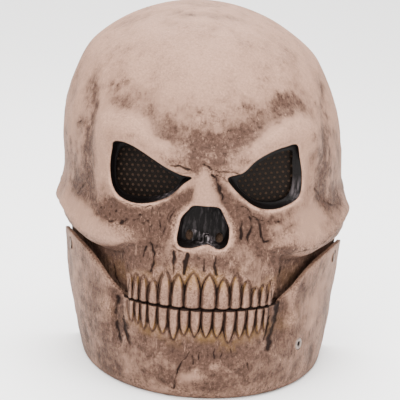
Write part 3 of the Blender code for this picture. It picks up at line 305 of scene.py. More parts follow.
# The floors of sockets and nose behind their chords, what is cut and set in them, and the plates behind
SOCKET_DEPTH = 0.0068
NOSE_DEPTH = 0.0120
SOCKET_FOOT = 0.15  # how far a socket's foot stands off its opening, as a share of the way to its rim
NOSE_FOOT = 0.83
THROUGH_MARGIN = 0.003
NOSTRIL_RADII = (0.0026, 0.0037)
SPINE_RADII = (0.0030, 0.0052, 0.0060)
SPINE_LIFT = 0.0032
PLATE = 0.0010
PLATE_GAP = 0.0003
PLATE_MARGIN = 0.0028
HOLE_DEPTH = 0.0006
HOLE_MARGIN = 0.0016  # how far inside the plate's outline the middle of a hole has to lie
LATTICE_REACH = 14
LATTICE_TURN = math.radians(4)
THREAD_PITCH = 0.0011
THREAD_RELIEF = 0.00022

# A tooth's outline narrows towards its root, and runs at a slant to the line across it
TOOTH_TAPER = 3.4
TOOTH_POINT = 0.85
TOOTH_SLANT = 0.85
FAR_FROM_TEETH = 0.02

# The cast surface's lumps, with size and share of each, and the cells to a side after which noise repeats
LUMPS = ((0.016, 0.6), (0.007, 0.3), (0.0033, 0.15))
RAGGED_CELLS = 32

# Hollow rivets: radii, and the flange's thickness
FLANGE, BARREL, BORE, FLANGE_THICKNESS = 0.0043, 0.0025, 0.0018, 0.0009
SEAT_CLEARANCE = 0.0003
CUT_REACH = 0.012  # how far a bore's cutter stands out at either end
PIVOTS = ("jaw_pivot_left", "jaw_pivot_right")
TEMPLE_EYELETS = ("temple_eyelet_left", "temple_eyelet_right")
JAW_EYELET = "jaw_eyelet"

# The floor, and the place that the camera is aimed at, in metres and in pixels of the picture
FLOOR_HALF = 6.0
LOOKED_AT = (0.0015, 0.0, 0.130)
PICTURE_MIDDLE = (205.15, 191.1)
PICTURE_WIDTH = 400

# Steps of curves and rings, rounds of smoothing, and lengths that count as nothing
OUTLINE_STEPS = 10
SHEET_STEPS = 6
FINE_STEPS = 60
RIVET_STEPS = 48
HOLE_STEPS = 12
CLOSE_TOP = 0.178  # the height up to which the upper shell's rows lie close
CLOSE_STEP = 0.00076
CROWN_ROWS = 78
JAW_ROWS = 87
# Half the width over which a shell's columns lie close, their step, and the columns at either side of it
SKULL_COLUMNS = (0.072, CLOSE_STEP, 57)
JAW_COLUMNS = (0.070, 0.00066, 45)
SMOOTH_ROUNDS = 26
JOINED = 1e-6
NOTHING = 1e-18
SHARP = 0.70  # the angle from which an edge is drawn sharp


class MaskSizes(bpy.types.PropertyGroup):
    """Sizes that the dressed mask may change without leaving its frame."""

    tooth_rise: FloatProperty(
        name="Tooth rise", description="How far the teeth stand out", default=0.0034, subtype="DISTANCE"
    )
    tooth_gap: FloatProperty(
        name="Tooth gap", description="How far the gaps between the teeth are cut in",
        default=0.0008, subtype="DISTANCE",
    )
    gum_rise: FloatProperty(
        name="Gum rise", description="How far the gum stands out of the face",
        default=0.0007, subtype="DISTANCE",
    )
    lump: FloatProperty(
        name="Lumps", description="How uneven the cast surface is", default=0.00085, subtype="DISTANCE"
    )
    rim_round: FloatProperty(
        name="Rim rounding", description="Rounding along the sockets and the nose",
        default=0.0016, subtype="DISTANCE",
    )
    edge_round: FloatProperty(
        name="Edge rounding", description="Rounding along the free edges of both shells",
        default=0.0007, subtype="DISTANCE",
    )
    hole_pitch: FloatProperty(
        name="Hole pitch", description="From one hole of the eye sheets to the next",
        default=0.0039, subtype="DISTANCE",
    )
    hole_width: FloatProperty(
        name="Hole width", description="Width of a hole in the eye sheets",
        default=0.0018, subtype="DISTANCE",
    )


class MaskColours(bpy.types.PropertyGroup):
    """Paints of the mask."""

    bone: FloatVectorProperty(
        name="Bone", description="The lightest paint", size=3, default=(0.246, 0.142, 0.099), subtype="COLOR"
    )
    # Stain colour: the brown wash, and the painted shade that is mixed towards it.
    stain_and_shade: FloatVectorProperty(
        name="Stain", description="The wash over most of the bone",
        size=3, default=(0.056, 0.029, 0.0205), subtype="COLOR",
    )
    # Groove colour: the paint in grooves, and the painted shadow along the mouth.
    groove_and_shadow: FloatVectorProperty(
        name="Groove", description="The paint left in the grooves",
        size=3, default=(0.0045, 0.0015, 0.0008), subtype="COLOR",
    )
    gum: FloatVectorProperty(
        name="Gum", description="The ochre along the gums",
        size=3, default=(0.125, 0.066, 0.019), subtype="COLOR",
    )
    socket: FloatVectorProperty(
        name="Socket", description="The black of sockets and nose",
        size=3, default=(0.0030, 0.0020, 0.0018), subtype="COLOR",
    )
    thread: FloatVectorProperty(
        name="Gauze", description="What shows dimly in the sheets' holes",
        size=3, default=(0.050, 0.030, 0.020), subtype="COLOR",
    )


class StageLook(bpy.types.PropertyGroup):
    """The floor, the light and the camera."""

    floor: FloatVectorProperty(
        name="Floor", description="The pale floor", size=3, default=(0.90, 0.89, 0.88), subtype="COLOR"
    )
    key: FloatProperty(
        name="Key light", description="Power of the large front light", default=34.0, unit="POWER"
    )
    fill: FloatProperty(
        name="Fill light", description="Power of the light from the other side", default=12.0, unit="POWER"
    )
    top: FloatProperty(
        name="Top light", description="Power of the wide light overhead", default=110.0, unit="POWER"
    )
    back: FloatProperty(
        name="Back light", description="Power of the light on the floor behind the mask",
        default=150.0, unit="POWER",
    )
    air: FloatProperty(name="Air", description="Strength of the even light all round", default=0.85)
    distance: FloatProperty(
        name="Camera distance", description="From the camera to the mask", default=1.230, subtype="DISTANCE"
    )
    scale: FloatProperty(
        name="Scale", description="Metres on the mask to a pixel of the picture", default=0.0007, precision=5
    )
    elevation: FloatProperty(
        name="Elevation", description="How far the camera looks down",
        default=math.radians(12), subtype="ANGLE",
    )
    roll: FloatProperty(
        name="Roll", description="How far the picture is turned", default=math.radians(2.9), subtype="ANGLE"
    )


# Curves and eased steps
def along_curve(a, b, c, d, part):
    """Catmull-Rom curve from b to c, with a before them and d after, at a part of the way."""
    bend = part * (2 * a - 5 * b + 4 * c - d + part * (3 * b - 3 * c + d - a))
    return b + 0.5 * part * (c - a + bend)


def read_smoothly(table, position, mirrored_end=False):
    """Rows of a table read along a Catmull-Rom curve through them, at positions counted in rows."""
    rows = np.array(table, float)
    before = 2 * rows[0] - rows[1]
    after = 2 * rows[-1] - rows[-2]
    if mirrored_end:
        after = rows[-2] * np.array((1, -1, -1, 1, 1))
    rows = np.vstack((before, rows, after))
    position = np.clip(position, 0, len(table) - 1)
    first = np.minimum(position.astype(int), len(table) - 2)
    return along_curve(*(rows[first + step] for step in range(4)), (position - first)[..., None])


def fine_rows(table, mirrored_end=False):
    """Close positions along a table, counted in rows, and the rows read there."""
    positions = np.linspace(0, len(table) - 1, FINE_STEPS * len(table))
    return positions, read_smoothly(table, positions, mirrored_end)


def line_height(line, across):
    """Height of a line on the face at a place across it, as shares."""
    _, fine = fine_rows(line)
    return np.interp(across, fine[:, 0], fine[:, 1])


def on_face(outline, steps=OUTLINE_STEPS):
    """An outline of shares as a smooth closed curve of places across and up, in metres."""
    points = np.array(outline, float)
    around = [np.roll(points, shift, axis=0) for shift in (1, 0, -1, -2)]
    curve = along_curve(*around, (np.arange(steps) / steps)[:, None, None])
    return curve.transpose(1, 0, 2).reshape(-1, 2) * (FACE_HALF, MASK_HEIGHT)


def eased(value, start, end):
    """0 at the start and 1 at the end, with a soft step between."""
    part = np.clip((value - start) / (end - start), 0, 1)
    return part * part * (3 - 2 * part)


def bell(distance, reach):
    """1 at no distance, and falling off to either side within a reach."""
    return np.exp(-((distance / reach) ** 2))


def beside(path, x, z, closed=True):
    """Distance from a path, negative inside a closed one, and the nearest place on it."""
    nearest = np.full(x.shape, np.inf)
    near_x, near_z = x.copy(), z.copy()
    inside = np.zeros(x.shape, bool)
    ends = np.roll(path, -1, axis=0)
    for (ax, az), (bx, bz) in list(zip(path, ends))[: len(path) if closed else -1]:
        run_x, run_z = bx - ax, bz - az
        part = np.clip(((x - ax) * run_x + (z - az) * run_z) / (run_x**2 + run_z**2), 0, 1)
        on_x, on_z = ax + part * run_x, az + part * run_z
        distance = np.hypot(x - on_x, z - on_z)
        closer = distance < nearest
        nearest = np.where(closer, distance, nearest)
        near_x = np.where(closer, on_x, near_x)
        near_z = np.where(closer, on_z, near_z)
        if closed and az != bz:
            inside ^= ((az > z) != (bz > z)) & (x < ax + run_x * (z - az) / run_z)
    return np.where(inside, -nearest, nearest), near_x, near_z


def unevenness(points, size, seed):
    """Smooth noise from -1 to 1: random values at the corners of cubes of a size, eased between them."""
    values = np.random.default_rng(seed).uniform(-1, 1, (RAGGED_CELLS,) * 3)
    place = points / size + 1000
    cell = np.floor(place).astype(int)
    part = place - cell
    part = part * part * (3 - 2 * part)
    total = np.zeros(points.shape[:-1])
    for corner in np.ndindex(2, 2, 2):
        weight = np.prod(np.where(np.array(corner) == 1, part, 1 - part), axis=-1)
        at = (cell + corner) % RAGGED_CELLS
        total += weight * values[at[..., 0], at[..., 1], at[..., 2]]
    return total


def cast_lumps(points, seed):
    """Unevenness of the cast surface from about -1 to 1, in three sizes of lump."""
    return sum(share * unevenness(points, size, seed + place) for place, (size, share) in enumerate(LUMPS))


def add_patches(total, rows, x, z):
    """Adds soft patches to strengths at places: each a bell across and up from its middle, in millimetres."""
    for across, up, reach_across, reach_up, strength in rows:
        away = np.hypot((1000 * x - across) / reach_across, (1000 * z - up) / reach_up)
        total += strength * bell(away, 1.0)


def unit_circle(steps):
    """Points evenly round a circle of radius 1, across and up."""
    angles = np.linspace(0, 2 * math.pi, steps, endpoint=False)
    return np.stack((np.cos(angles), np.sin(angles)), axis=1)


def free_edge(distance, radius):
    """How far a surface is drawn in near a free edge, so that the edge is a quarter round."""
    part = 1 - np.clip(distance / radius, 0, 1)
    return radius * (1 - np.sqrt(1 - part * part))


# The plain form, before its relief
def place_section(section, turn):
    """Points of a level section, a superellipse, at signed turns, as x, forward and z."""
    height, half_width, depth, roundness, lean = np.moveaxis(section, -1, 0)
    angle = turn * HALF_TURN
    side = np.abs(np.sin(angle)) ** (2 / roundness) * np.sign(turn)
    forward = np.maximum(np.cos(angle), 0) ** (2 / roundness)
    x = half_width * HALF_WIDTH * side - lean * CROWN_LEAN
    return np.stack((x, -depth * MASK_DEPTH * forward, height * MASK_HEIGHT), axis=-1)


def normals_of(points):
    """Unit normals of a grid of points, outwards; rows run up and columns from left to right."""
    normal = np.cross(np.gradient(points, axis=1), np.gradient(points, axis=0))
    return normal / np.maximum(np.linalg.norm(normal, axis=-1, keepdims=True), NOTHING)


def turn_at(x, section):
    """The signed turn at which a level section reaches a place across the face."""
    _, half_width, _, roundness, lean = section
    across = (x + lean * CROWN_LEAN) / (half_width * HALF_WIDTH)
    return np.sign(across) * np.arcsin(np.clip(np.abs(across), 0, 1) ** (roundness / 2)) / HALF_TURN


def position_at(up):
    """The row position in the upper shell's table at which a height, as a share, is reached."""
    positions, fine = fine_rows(SKULL_SECTIONS, True)
    return np.interp(up, fine[:, 0], positions)


def teeth_beside(teeth, x, z, edge):
    """Distance outside the nearest tooth's outline, and how far across and along that tooth a place lies.
    At a share v of its height a tooth is (1 - v^TOOTH_TAPER)^TOOTH_POINT as wide as at its middle."""
    outside = np.full(x.shape, FAR_FROM_TEETH)
    across_tooth, along_tooth = np.ones(x.shape), np.full(x.shape, 9.0)
    for (left, root), (right, _) in zip(teeth, teeth[1:]):
        middle = (left + right) / 2 * FACE_HALF
        half = (right - left) / 2 * FACE_HALF
        tall = root * MASK_HEIGHT - edge
        along = (z - edge) / tall
        width = half * np.clip(1 - np.clip(along, 0, 1) ** TOOTH_TAPER, 0, 1) ** TOOTH_POINT
        width *= 1.0 - 0.06 * (1 - eased(along, 0, 0.12))
        past = np.maximum(along - 1, 0) * abs(tall)
        side = np.abs(x - middle)
        distance = np.where(past > 0, np.hypot(side, past), (side - width) * TOOTH_SLANT)
        closer = distance < outside
        outside = np.where(closer, distance, outside)
        across_tooth = np.where(closer, side / np.maximum(width, half * 0.1), across_tooth)
        along_tooth = np.where(closer, along, along_tooth)
    return outside, across_tooth, along_tooth


def teeth_relief(teeth, x, z, edge, sizes):
    """Cast teeth: crowns 1 - t^3 across, which sink towards the gum, and the gum between their roots."""
    outside, across, along = teeth_beside(teeth, x, z, edge)
    crown = np.clip(1 - np.clip(across, 0, 1) ** 3, 0, 1)
    crown *= 1 - 0.72 * eased(along, 0.25, 1.0)
    crown *= 1 - 0.12 * (1 - eased(along, 0.0, 0.10))
    crown = np.where(outside < 0, crown, 0)
    gap = bell(outside, 0.0008) * eased(along, 1.10, 0.80) * eased(along, 0.04, 0.22)
    ends = bell(np.abs(x) / FACE_HALF, 0.62)
    gum = eased(outside, 0, 0.0016) * (1 - eased(along, 1.3, 2.1)) * ends * eased(along, 0.30, 0.75)
    return sizes.tooth_rise * crown + sizes.gum_rise * gum - sizes.tooth_gap * gap


def marks_at(x, z):
    """How deep the creases and pits are carved at places seen from the front, how dark they are painted,
    and how far the wash round them spreads: each a bell from its path or middle, ragged by noise."""
    plain = np.stack((x, np.zeros(x.shape), z), axis=-1)
    across = 1000 * x + 0.75 * unevenness(plain, 0.0032, 21)
    up = 1000 * z + 0.60 * unevenness(plain, 0.0026, 22)
    ragged = 1 + 0.60 * unevenness(plain, 0.0042, 23)
    carved, dark, halo = np.zeros(x.shape), np.zeros(x.shape), np.zeros(x.shape)
    for half, strength, depth, path in CREASES:
        distance, _, _ = beside(np.array(path), across, up, closed=False)
        shape = bell(distance, half * ragged)
        carved = np.maximum(carved, depth * shape / 1000)
        dark = np.maximum(dark, strength * (0.5 + 0.5 * ragged) * shape)
        halo = np.maximum(halo, 1.15 * strength * bell(distance, half + 2.1))
    for middle_x, middle_z, radius, depth in PITS:
        away = np.hypot(across - middle_x, up - middle_z)
        shape = bell(away, radius)
        carved = np.maximum(carved, depth * shape / 1000)
        dark = np.maximum(dark, (0.45 + 0.6 * depth) * shape)
        halo = np.maximum(halo, 0.8 * bell(away, radius + 1.3))
    return carved, dark, halo


# The upper shell
def soft_relief(x, z, turn):
    """Brow, frown, nose bone, cheekbones, temples and tooth arch, measured outwards, as in the frame."""
    across = np.abs(x) / FACE_HALF
    up = z / MASK_HEIGHT
    above_brow = z - line_height(BROW_LINE, across) * MASK_HEIGHT
    above_cheek = z - line_height(CHEEK_LINE, across) * MASK_HEIGHT
    above_hollow = z - line_height(HOLLOW_LINE, across) * MASK_HEIGHT
    brow = bell(above_brow - 0.006, 0.012) * (1 - eased(across, 0.62, 0.85))
    brow *= 0.45 + 0.55 * eased(across, 0.02, 0.18)
    frown = bell(across, 0.16) * bell(up - 0.632, 0.050)
    nasal = 0.25 + 0.75 * eased(up, 0.64, 0.53)
    nasal *= eased(up, 0.44, 0.50) * eased(up, 0.66, 0.60) * bell(x, 0.0095)
    lift = 0.75 - 0.80 * eased(across, 0.70, 0.95)
    cheek = bell(above_cheek - lift * 0.012, 0.012) * eased(above_cheek, -0.003, 0.004)
    cheek *= eased(across, 0.34, 0.58) * eased(np.abs(turn), 1.00, 0.86)
    temple = eased(across, 0.70, 0.80) * eased(up, 0.46, 0.53) * eased(up, 0.88, 0.78)
    hollow = (1 - eased(above_hollow, -0.008, 0.001)) * eased(np.abs(turn), *HOLLOW_START)
    arch = bell(across, 0.50) * bell(up - 0.315, 0.115) * (1 - hollow)
    rise = 0.0075 * brow + 0.0035 * frown + 0.0080 * nasal + 0.0052 * cheek
    rise += 0.0050 * arch - 0.0020 * temple
    return rise - (WALL + JAW_GAP + 0.004 * eased(np.abs(turn), 0.78, 0.58)) * hollow, hollow


def socket_floor(places):
    """Place in y of a socket's flat floor, behind the chord across the face, at places in x and z."""
    _, half_width, depth, roundness, _ = read_smoothly(SKULL_SECTIONS, position_at(SOCKET_UP), True)
    ends = np.array(SOCKET_ENDS) * FACE_SHARE / half_width
    inner_y, outer_y = -depth * MASK_DEPTH * (1 - ends**roundness) ** (1 / roundness)
    along = (np.abs(places[..., 0]) / (half_width * HALF_WIDTH) - ends[0]) / (ends[1] - ends[0])
    return inner_y + SOCKET_DEPTH + along * (outer_y - inner_y)


def nose_floor(places):
    """Place in y of the flat floor of the nose at places in x and z."""
    ends = np.array([min(up for _, up in NOSE_OUTLINE), max(up for _, up in NOSE_OUTLINE)])
    low, high = NOSE_DEPTH - read_smoothly(SKULL_SECTIONS, position_at(ends), True)[:, 2] * MASK_DEPTH
    along = (places[..., 1] / MASK_HEIGHT - ends[0]) / (ends[1] - ends[0])
    return low + along * (high - low)


def skull_faces(turn, position, sizes):
    """The upper shell's outer face is its plain superellipse form plus its relief along the normal, lumps,
    teeth and rounded edges; its inner face lies a wall behind, and behind the floors of the sockets."""
    turn, position = np.broadcast_arrays(turn[None, :], position[:, None])
    plain = place_section(read_smoothly(SKULL_SECTIONS, position, True), turn)
    normal = normals_of(plain)
    normal[-1] = (0, 0, 1)
    x, z = plain[..., 0], plain[..., 2]
    rise, hollow = soft_relief(x, z, turn)
    outer = plain + normal * rise[..., None]
    inner = outer - normal * WALL
    inner[..., 1] = np.minimum(inner[..., 1], 0)
    free = (1 - hollow) * eased(np.abs(turn), 1.0, 0.94) * eased(z, UPPER_EDGE, UPPER_EDGE + 0.004)
    outer += normal * (sizes.lump * cast_lumps(plain, 1) * free)[..., None]
    outer[..., 1] -= teeth_relief(UPPER_TEETH, x, z, UPPER_EDGE, sizes)
    lap = LAP * eased(np.abs(turn), *LAP_START_TURN) * eased(np.abs(turn), *LAP_END_TURN)
    lap *= 1 - eased(z, UPPER_EDGE, UPPER_EDGE + LAP_BLEND)
    carved, _, _ = marks_at(outer[..., 0], outer[..., 2])
    outer -= normal * (carved * free)[..., None]
    drawn = free_edge(z - UPPER_EDGE, sizes.edge_round)
    hollows = ((LEFT_SOCKET, socket_floor), (RIGHT_SOCKET, socket_floor), (NOSE_OUTLINE, nose_floor))
    for outline, floor in hollows:
        outside, _, _ = beside(on_face(outline), x, z)
        behind = floor(inner[..., (0, 2)]) + WALL - inner[..., 1]
        inner[..., 1] += eased(outside, 0.008, 0.002) * np.maximum(behind, 0)
        drawn += 0.6 * sizes.rim_round * (1 - np.clip(outside / sizes.rim_round, 0, 1)) ** 2
    outer -= normal * drawn[..., None]
    for face in (outer, inner):
        face[..., 2] -= lap
        face[:, (0, -1), 1] = 0
    return outer, inner


def jaw_faces(turn, level, sizes):
    """The jaw's outer and inner face, in the same way, at turns and shares of its local height."""
    turn, level = np.broadcast_arrays(turn[None, :], level[:, None])
    top = line_height(JAW_EDGE, np.abs(turn))
    _, fine = fine_rows(JAW_SECTIONS)
    section = np.stack([np.interp(level * top, fine[:, 0], column) for column in fine.T], axis=-1)
    plain = place_section(section, turn)
    normal = normals_of(plain)
    x, z = plain[..., 0], plain[..., 2]
    across, up = x / FACE_HALF, z / MASK_HEIGHT
    arch = bell(across, 0.50) * bell(up - 0.240, 0.080)
    chin = bell(across - 0.05, 0.36) * bell(up - 0.09, 0.060)
    corner = bell(np.abs(across) - 0.555, 0.055) * eased(up, 0.09, 0.17)
    rise = 0.0038 * arch + 0.0032 * chin - 0.0028 * corner
    outer = plain + normal * rise[..., None]
    inner = outer - normal * WALL
    inner[..., 1] = np.minimum(inner[..., 1], 0)
    to_edge = (1 - level) * top * MASK_HEIGHT
    free = eased(np.abs(turn), 1.0, 0.94) * eased(z, 0, 0.006) * eased(to_edge, 0, 0.004)
    outer += normal * (sizes.lump * cast_lumps(plain, 4) * free)[..., None]
    outer[..., 1] -= teeth_relief(LOWER_TEETH, x, z, LOWER_EDGE, sizes)
    carved, _, _ = marks_at(outer[..., 0], outer[..., 2])
    outer -= normal * (carved * free)[..., None]
    drawn = free_edge(to_edge, sizes.edge_round) + free_edge(z, sizes.edge_round)
    outer -= normal * drawn[..., None]
    inner[-1, :, 2] += MOUTH_LIP * eased(np.abs(turn[-1]), *HOLLOW_START[::-1])
    inner[0, :, 2] = 0
    outer[0, :, 2] = 0
    outer[:, (0, -1), 1] = 0
    inner[:, (0, -1), 1] = 0
    return outer, inner


# Building meshes
def quads_of(index):
    """The four corners of each cell of a grid of vertex numbers."""
    corners = (index[:-1, :-1], index[:-1, 1:], index[1:, 1:], index[1:, :-1])
    return np.stack(corners, axis=-1).reshape(-1, 4)


def zipped(fine, coarse):
    """Six-sided faces between an edge of the outer grid and that of the inner one, three times coarser."""
    return np.stack((fine[:-1:3], fine[1::3], fine[2::3], fine[3::3], coarse[1:], coarse[:-1]), axis=-1)


def new_mesh(name, points, faces):
    """A mesh from an array of points and lists of vertex numbers."""
    mesh = bpy.data.meshes.new(name)
    mesh.from_pydata(points.tolist(), [], faces)
    return mesh


def paint_faces(mesh, first):
    """Puts the faces before a number in the first paint, and the others in the second."""
    slots = np.zeros(len(mesh.polygons), np.int32)
    slots[first:] = 1
    mesh.polygons.foreach_set("material_index", slots)


def shell_mesh(name, outer, inner, closed_top):
    """A wall between a fine outer grid and an inner grid at every third row and column of it."""
    inner = inner[::3, ::3]
    index = np.arange(outer.shape[0] * outer.shape[1]).reshape(outer.shape[:2])
    behind = index.size + np.arange(inner.shape[0] * inner.shape[1]).reshape(inner.shape[:2])
    edges = [(index[0], behind[0]), (index[:, 0], behind[:, 0]), (index[:, -1], behind[:, -1])]
    if not closed_top:
        edges.append((index[-1], behind[-1]))
    rims = np.concatenate([zipped(fine, coarse) for fine, coarse in edges])
    outside = quads_of(index).tolist() + rims.tolist()
    points = np.concatenate((outer.reshape(-1, 3), inner.reshape(-1, 3)))
    mesh = new_mesh(name, points, outside + quads_of(behind)[:, ::-1].tolist())
    paint_faces(mesh, len(outside))
    return tidied(mesh)


def tidied(mesh):
    """A mesh with its doubled points joined and its faces turned outwards, smooth below an angle."""
    work = bmesh.new()
    work.from_mesh(mesh)
    bmesh.ops.remove_doubles(work, verts=work.verts, dist=JOINED)
    bmesh.ops.dissolve_degenerate(work, dist=JOINED, edges=work.edges)
    bmesh.ops.recalc_face_normals(work, faces=work.faces)
    work.to_mesh(mesh)
    work.free()
    mesh.shade_smooth()
    mesh.set_sharp_from_angle(angle=SHARP)
    return mesh


def loft_mesh(name, rings):
    """A closed body through rings of equally many points, capped at both ends."""
    count = len(rings[0])
    around = np.arange(count)
    following = np.roll(around, -1)
    start = count * np.arange(len(rings) - 1)[:, None]
    corners = (around, following, count + following, count + around)
    sides = np.stack([start + corner for corner in corners], axis=-1)
    faces = [around.tolist(), (around + count * (len(rings) - 1)).tolist(), *sides.reshape(-1, 4).tolist()]
    return tidied(new_mesh(name, np.concatenate(rings), faces))


def ring_at(places, depth):
    """An outline seen from the front as points at a depth, one for all or one for each."""
    return np.stack((places[:, 0], np.broadcast_to(depth, len(places)), places[:, 1]), axis=1)


def add_object(name, mesh, *materials):
    obj = bpy.data.objects.new(name, mesh)
    bpy.context.scene.collection.objects.link(obj)
    for material in materials:
        mesh.materials.append(material)
    return obj


def carve(obj, cutter, operation="DIFFERENCE"):
    """Applies one Boolean, its new faces in the cutter's paint, and takes its cutter out of the scene."""
    before, name = len(obj.data.polygons), cutter.name
    modifier = obj.modifiers.new(name, "BOOLEAN")
    modifier.operation = operation
    modifier.solver = "MANIFOLD"
    modifier.material_mode = "TRANSFER"
    modifier.object = cutter
    bpy.context.view_layer.update()
    mesh = bpy.data.meshes.new_from_object(obj.evaluated_get(bpy.context.evaluated_depsgraph_get()))
    obj.modifiers.clear()
    obj.data = mesh
    bpy.data.objects.remove(cutter)
    if len(mesh.polygons) == before:
        raise RuntimeError(f"{name} changed nothing on {obj.name}")


def settle(obj):
    """Moves a finished mesh from the frame's own measures to its place in the scene."""
    points = read_points(obj.data)
    write_points(obj.data, points + (MIDDLE, REAR, 0))
    tidied(obj.data)


def read_points(mesh):
    flat = np.empty(3 * len(mesh.vertices), np.float32)
    mesh.vertices.foreach_get("co", flat)
    return flat.reshape(-1, 3).astype(float)


def write_points(mesh, points):
    mesh.vertices.foreach_set("co", points.astype(np.float32).reshape(-1))
    mesh.update()


def store(mesh, name, values):
    """Keeps a number for each vertex under a name that a paint reads."""
    layer = mesh.attributes.new(name, "FLOAT", "POINT")
    layer.data.foreach_set("value", np.asarray(values, np.float32))


def sunken(mesh, rounds):
    """How far each vertex lies below the surface smoothed round it: hollows positive, ridges negative."""
    points = read_points(mesh)
    ends = np.empty(2 * len(mesh.edges), np.int32)
    mesh.edges.foreach_get("vertices", ends)
    first, second = ends.reshape(-1, 2).T
    count = len(points)
    degree = np.maximum(np.bincount(ends, minlength=count), 1)
    smooth = points.copy()
    for _ in range(rounds):
        sums = [
            np.bincount(first, column[second], count) + np.bincount(second, column[first], count)
            for column in smooth.T
        ]
        smooth = np.stack(sums, axis=1) / degree[:, None]
    flat = np.empty(3 * count, np.float32)
    mesh.vertex_normals.foreach_get("vector", flat)
    return ((smooth - points) * flat.reshape(-1, 3)).sum(axis=1)


def grid_turns(half, step, sides):
    """Turns of a grid's columns: evenly across the front, and wider towards the rear rim."""
    front = turn_at(np.linspace(-half, half, int(2 * half / step) // 3 * 3 + 1), SKULL_SECTIONS[0])
    part = np.linspace(0, 1, sides + 1)[1:]
    side = front[-1] + (1 - front[-1]) * (0.40 * part + 0.60 * part**2)
    return np.concatenate((-side[::-1], front, side))


def skull_positions():
    """Row positions: close and even up to the brows, then wider at even lengths to the crown."""
    close = np.arange(UPPER_EDGE + 0.0008, CLOSE_TOP, CLOSE_STEP)
    low = np.concatenate((UPPER_EDGE + np.array((0, 0.00012, 0.0004)), close))
    start = position_at(low[-1] / MASK_HEIGHT)
    fine = np.linspace(start, len(SKULL_SECTIONS) - 1, 600)
    table = read_smoothly(SKULL_SECTIONS, fine, True)
    run = np.hypot(np.diff(table[:, 2] * MASK_DEPTH), np.diff(table[:, 0] * MASK_HEIGHT))
    length = np.concatenate(([0], np.cumsum(run)))
    spare = (3 - (len(low) - 1) % 3) % 3
    high = np.interp(np.linspace(0, length[-1], CROWN_ROWS + spare + 1)[1:], length, fine)
    return np.concatenate((position_at(low / MASK_HEIGHT), high))


def rivet_frame(node):
    """Middle, outward axis and half length of a rivet, read from its CAD node: the axis is the direction
    in which its points spread differently from the other two."""
    points = np.unique(np.round(read_points(bpy.data.objects[node].data), 6), axis=0)
    middle = (points.min(axis=0) + points.max(axis=0)) / 2
    spread, directions = np.linalg.eigh(np.cov((points - points.mean(axis=0)).T))
    axis = directions[:, 0 if spread[1] - spread[0] > spread[2] - spread[1] else 2]
    along = (points - middle) @ axis
    middle = middle + axis * (along.min() + along.max()) / 2
    if axis[0] * (middle[0] - MIDDLE) < 0:
        axis = -axis
    return middle, axis, (along.max() - along.min()) / 2


def frame_at(point, outwards):
    """A place with its Z turned outwards."""
    return Matrix.Translation(Vector(point)) @ Vector(outwards).to_track_quat("Z", "Y").to_matrix().to_4x4()


def rod(name, radius, bottom, top, matrix, material):
    """A cutter for a bore or a seat: a cylinder along its own Z between two heights."""
    ring = unit_circle(RIVET_STEPS) * radius
    rings = [np.column_stack((ring, np.full(RIVET_STEPS, height))) for height in (bottom, top)]
    mesh = loft_mesh(name, rings)
    mesh.transform(matrix)
    return add_object(name, mesh, material)


def drill(obj, node, seat, material):
    """The bore, and on the outer shell the flat seat, for one rivet."""
    middle, axis, half = rivet_frame(node)
    matrix = frame_at(middle - np.array((MIDDLE, REAR, 0)), axis)
    reach = half + CUT_REACH
    carve(obj, rod("bore", BARREL + SEAT_CLEARANCE, -reach, reach, matrix, material))
    if seat:
        foot = half - FLANGE_THICKNESS - SEAT_CLEARANCE
        carve(obj, rod("seat", FLANGE + SEAT_CLEARANCE, foot, foot + CUT_REACH, matrix, material))


# Paints
class Value:
    """A number in a paint's nodes; arithmetic on it adds Math nodes."""

    def __init__(self, paint, socket):
        self.paint, self.socket = paint, socket

    def __add__(self, other):
        return self.paint.math("ADD", self, other)

    def __sub__(self, other):
        return self.paint.math("SUBTRACT", self, other)

    def __rsub__(self, other):
        return self.paint.math("SUBTRACT", other, self)

    def __mul__(self, other):
        return self.paint.math("MULTIPLY", self, other)

    __radd__ = __add__
    __rmul__ = __mul__

    def eased(self, start, end, low=0.0, high=1.0):
        """Low at the start and high at the end, with a soft step between."""
        settings = {"interpolation_type": "SMOOTHSTEP"}
        sockets = {0: self, 1: start, 2: end, 3: low, 4: high}
        return self.paint.node("ShaderNodeMapRange", settings, sockets)


